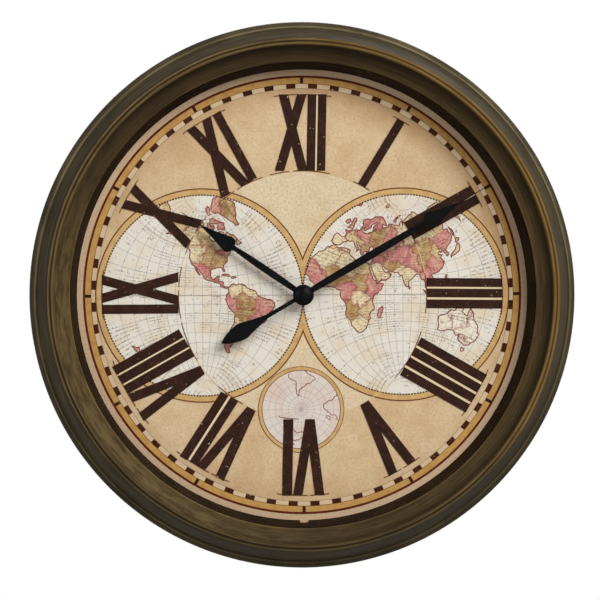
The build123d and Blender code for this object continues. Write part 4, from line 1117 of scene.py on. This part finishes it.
printShape("polarSea", [circle(polar["radius"], polar["centre"], 120)], "polarSea", polarFinish())
printRing("polarRing", polar["ring"], "polarRing", inkRing, polar["centre"])
for edge, radius in zip(("Inner", "Outer"), polar["ring"]):
    printRing("polarLine" + edge, bothSides(radius, polar["line"]), "polarLines", inkBrown, polar["centre"])
inkPink = inkFinish("pinkInk", tone(138, 68, 66), tone(164, 100, 90), 0.8)
farShores = []
southLands = [westLands["southAmerica"]]
southLands += [eastLands[land] for land in ("africa", "australia", "newGuinea", "madagascar")]
southLands += [westLands[land] for land in ("northIsland", "southIsland")]
for outline in southLands:
    run = []
    for point in coast([onPolar(p) for p in outline], shaker, 1) + [None]:
        if point and math.dist(point, polar["centre"]) < polar["radius"] - polar["coastEdge"]:
            run.append(point)
            continue
        if len(run) > 2:
            farShores.append(run)
        run = []
printLine("polarCoasts", farShores, polar["coastLine"], "polarCoasts", inkPink, closed=False)
print("polar map printed")

# Hands and cap, satin black
satin = {"hand": tone(6, 7, 8), "cap": tone(8, 10, 11), "worn": tone(12, 12, 13), "gloss": 0.05}


def handFinish(name, main, rough):
    place = newFinish(name)
    fine = grain(place, 1500.0, 2.0)
    cloud = grain(place, 45.0, 3.0)
    colour = blend(smooth(cloud, 0.4, 0.7), main, satin["worn"])
    return closeFinish(place, colour, rough + cloud * 0.12, satin["gloss"], fine, 0.02 * mm)


dress(handFinish("handBlack", satin["hand"], 0.45), "hour_hand", "minute_hand")
dress(handFinish("capBlack", satin["cap"], 0.3), "dome_cap")

# Pieces behind the dial
board = {"dark": tone(92, 62, 38), "light": tone(134, 96, 62)}
winding = {"ripple": 2600.0, "light": tone(196, 110, 62), "dark": tone(120, 58, 30)}  # radians per metre
cell = {  # edges in millimetres from the middle of the cell
    "steelFrom": (24.2, 24.4),
    "stripeFrom": (11.8, 11.9),
    "sleeve": tone(34, 36, 40),
    "stripe": tone(168, 120, 58),
    "steel": tone(190, 190, 188),
}


def boardFinish():
    place = newFinish("brownBoard")
    fibre = grain(stretched(place, 1.0, 1.0, 3.0), 260.0, 5.0, 0.7)
    cloud = grain(place, 14.0, 3.0)
    colour = blend(smooth(fibre * 0.7 + cloud * 0.3, 0.38, 0.62), board["dark"], board["light"])
    return closeFinish(place, colour, 0.7 + fibre * 0.2, bump=fibre, deep=0.1 * mm)


def metalFinish(name, dark, light, rough):
    place = newFinish(name)
    cloud = grain(place, 120.0, 4.0)
    scratch = grain(stretched(place, 1500.0, 200.0, 120.0), 1.0, 2.0)
    colour = blend(smooth(cloud, 0.35, 0.65), dark, light)
    rough = rough + (scratch - 0.5) * 0.2 + cloud * 0.08
    return closeFinish(place, colour, rough, bump=scratch, deep=0.02 * mm, Metallic=1.0)


def plasticFinish(name, dark, light, rough, coarse=700.0):
    place = newFinish(name)
    pebble = grain(place, coarse, 3.0)
    cloud = grain(place, 40.0, 3.0)
    colour = blend(smooth(cloud, 0.35, 0.7), dark, light)
    return closeFinish(place, colour, rough + pebble * 0.1, bump=pebble, deep=0.04 * mm)


def windingFinish():
    place = newFinish("copperWire")
    x, y, z = split(place)
    turns = (z * winding["ripple"]).sums("SINE") * 0.5 + 0.5
    colour = blend(turns * 0.7, winding["light"], winding["dark"])
    return closeFinish(place, colour, 0.35 + turns * 0.1, bump=turns, deep=0.08 * mm, Metallic=0.8)


def cellFinish():
    place = newFinish("cellSleeve")
    x, y, z = split(place)
    cloud = grain(place, 200.0, 3.0)
    steel = fade(abs(x), cell["steelFrom"])
    colour = blend(fade(x, cell["stripeFrom"]), cell["sleeve"], cell["stripe"])
    colour = blend(steel, colour, cell["steel"])
    return closeFinish(place, colour, 0.32 + cloud * 0.12, Metallic=steel * 0.9)


dress(boardFinish(), "dial_board")
dress(metalFinish("zincSteel", tone(172, 172, 168), tone(206, 206, 202), 0.34), "board_screws",
      "hanger_plate", "hanger_screws", "contact_positive", "contact_negative", "quartz_crystal")
dress(metalFinish("turnedBrass", tone(176, 138, 72), tone(206, 170, 100), 0.28), "mounting_washer",
      "mounting_nut", "cannon_pinion", "hour_hand_collet", "minute_hand_collet", "hand_nut")
dress(metalFinish("motorIron", tone(110, 110, 112), tone(146, 146, 148), 0.42), "stator", "coil_core",
      "rotor")
dress(plasticFinish("blackCase", tone(24, 24, 25), tone(38, 38, 39), 0.48), "movement_front_case",
      "movement_rear_case", "set_knob")
dress(plasticFinish("gearPlastic", tone(226, 222, 210), tone(240, 238, 230), 0.42), "train_plate",
      "coil_bobbin", "intermediate_wheel", "seconds_wheel", "third_wheel", "center_wheel", "minute_wheel",
      "hour_wheel")
dress(plasticFinish("softRubber", tone(30, 30, 30), tone(46, 45, 44), 0.75, 400.0), "rubber_gasket")
dress(plasticFinish("boardLaminate", tone(32, 84, 52), tone(44, 104, 66), 0.35, 500.0), "circuit_board")
dress(windingFinish(), "coil_winding")
dress(cellFinish(), "battery")
print("finishes done")

# Studio: pale floor below the clock, soft key from the upper right, white around
studio = {
    "floorHeight": -2.1,
    "floorSize": 9.0,
    "floorWhite": 0.88,
    "lamps": {  # place in metres, width, power
        "keyLamp": ((2.45, -2.95, 2.7), 3.2, 253.0),
        "fillLamp": ((-2.2, -1.6, 0.5), 1.6, 16.0),
        "backLamp": ((0.9, 2.9, 1.5), 2.4, 100.0),
    },
    "lampAim": 30.0,
    "ambient": 0.13,
    "white": (1.0, 1.0, 1.0, 1.0),
}
deselectAll()
bpy.ops.mesh.primitive_plane_add(size=studio["floorSize"], location=(0, 0, studio["floorHeight"]))
floor = bpy.context.object
floor.name = "studioFloor"
bpy.ops.object.transform_apply(location=True, rotation=True, scale=True)


def seenDirectly(start):  # 1 for what the camera sees, also in gloss and through glass
    rays = [start.node("ShaderNodeLightPath", None, None, out) for out in
            ("Is Camera Ray", "Is Glossy Ray", "Is Transmission Ray")]
    return rays[0].sums("MAXIMUM", rays[1]).sums("MAXIMUM", rays[2])


def floorFinish():
    place = newFinish("paleFloor")
    colour = blend(grain(place, 3.0), tone(236, 235, 233), tone(244, 243, 241))
    matt = place.node("ShaderNodeBsdfPrincipled", None, {"Base Color": colour, "Roughness": 0.9})
    glow = place.node("ShaderNodeEmission", None, {"Color": studio["white"], "Strength": 1.0})
    share = seenDirectly(place) * studio["floorWhite"]
    mixed = place.node("ShaderNodeMixShader", None, {0: share, 1: matt, 2: glow})
    place.node("ShaderNodeOutputMaterial", None, {"Surface": mixed})
    return place.material


floor.data.materials.append(floorFinish())


def softLamp(name, start, size, power):
    bpy.ops.object.light_add(type="AREA", location=start)
    lamp = bpy.context.object
    lamp.name = name
    lamp.data.shape = "DISK"
    lamp.data.size = size
    lamp.data.energy = power
    across = start[0]
    out = start[1] + studio["lampAim"] * mm
    lamp.rotation_euler = (math.atan2(math.hypot(across, out), start[2]), 0, math.atan2(across, -out))


for name, lamp in studio["lamps"].items():
    softLamp(name, *lamp)

world = bpy.data.worlds.new("whiteStudio")
bpy.context.scene.world = world
world.use_nodes = True
world.node_tree.nodes.clear()
sky = Wire(world.node_tree)
strength = studio["ambient"] + seenDirectly(sky) * (1.0 - studio["ambient"])
backdrop = sky.node("ShaderNodeBackground", None, {"Color": studio["white"], "Strength": strength})
sky.node("ShaderNodeOutputWorld", None, {"Surface": backdrop})

# Camera: a little to the left of the clock, turned a hair
view = {
    "distance": 2.4,
    "left": 2.6,
    "above": 0.3,
    "roll": 0.34,
    "lens": 154.2,
    "sensor": 36.0,
    "aim": (-0.0027, -0.026, -0.0047),
}
side = math.radians(view["left"])
up = math.radians(view["above"])
spot = (
    -math.sin(side) * math.cos(up) * view["distance"],
    -math.cos(side) * math.cos(up) * view["distance"] - dial["height"] * mm,
    math.sin(up) * view["distance"],
)
bpy.ops.object.camera_add(location=spot)
camera = bpy.context.object
gaze = [view["aim"][k] - spot[k] for k in range(3)]
tilt = math.atan2(math.hypot(gaze[0], gaze[1]), -gaze[2])
heading = math.atan2(-gaze[0], gaze[1])
rolled = Matrix.Rotation(math.radians(-view["roll"]), 3, "Z")
camera.rotation_euler = (Euler((tilt, 0, heading)).to_matrix() @ rolled).to_euler()
camera.data.lens = view["lens"]
camera.data.sensor_width = view["sensor"]
bpy.context.scene.camera = camera
bpy.context.scene.view_settings.view_transform = "Standard"
print("studio ready")
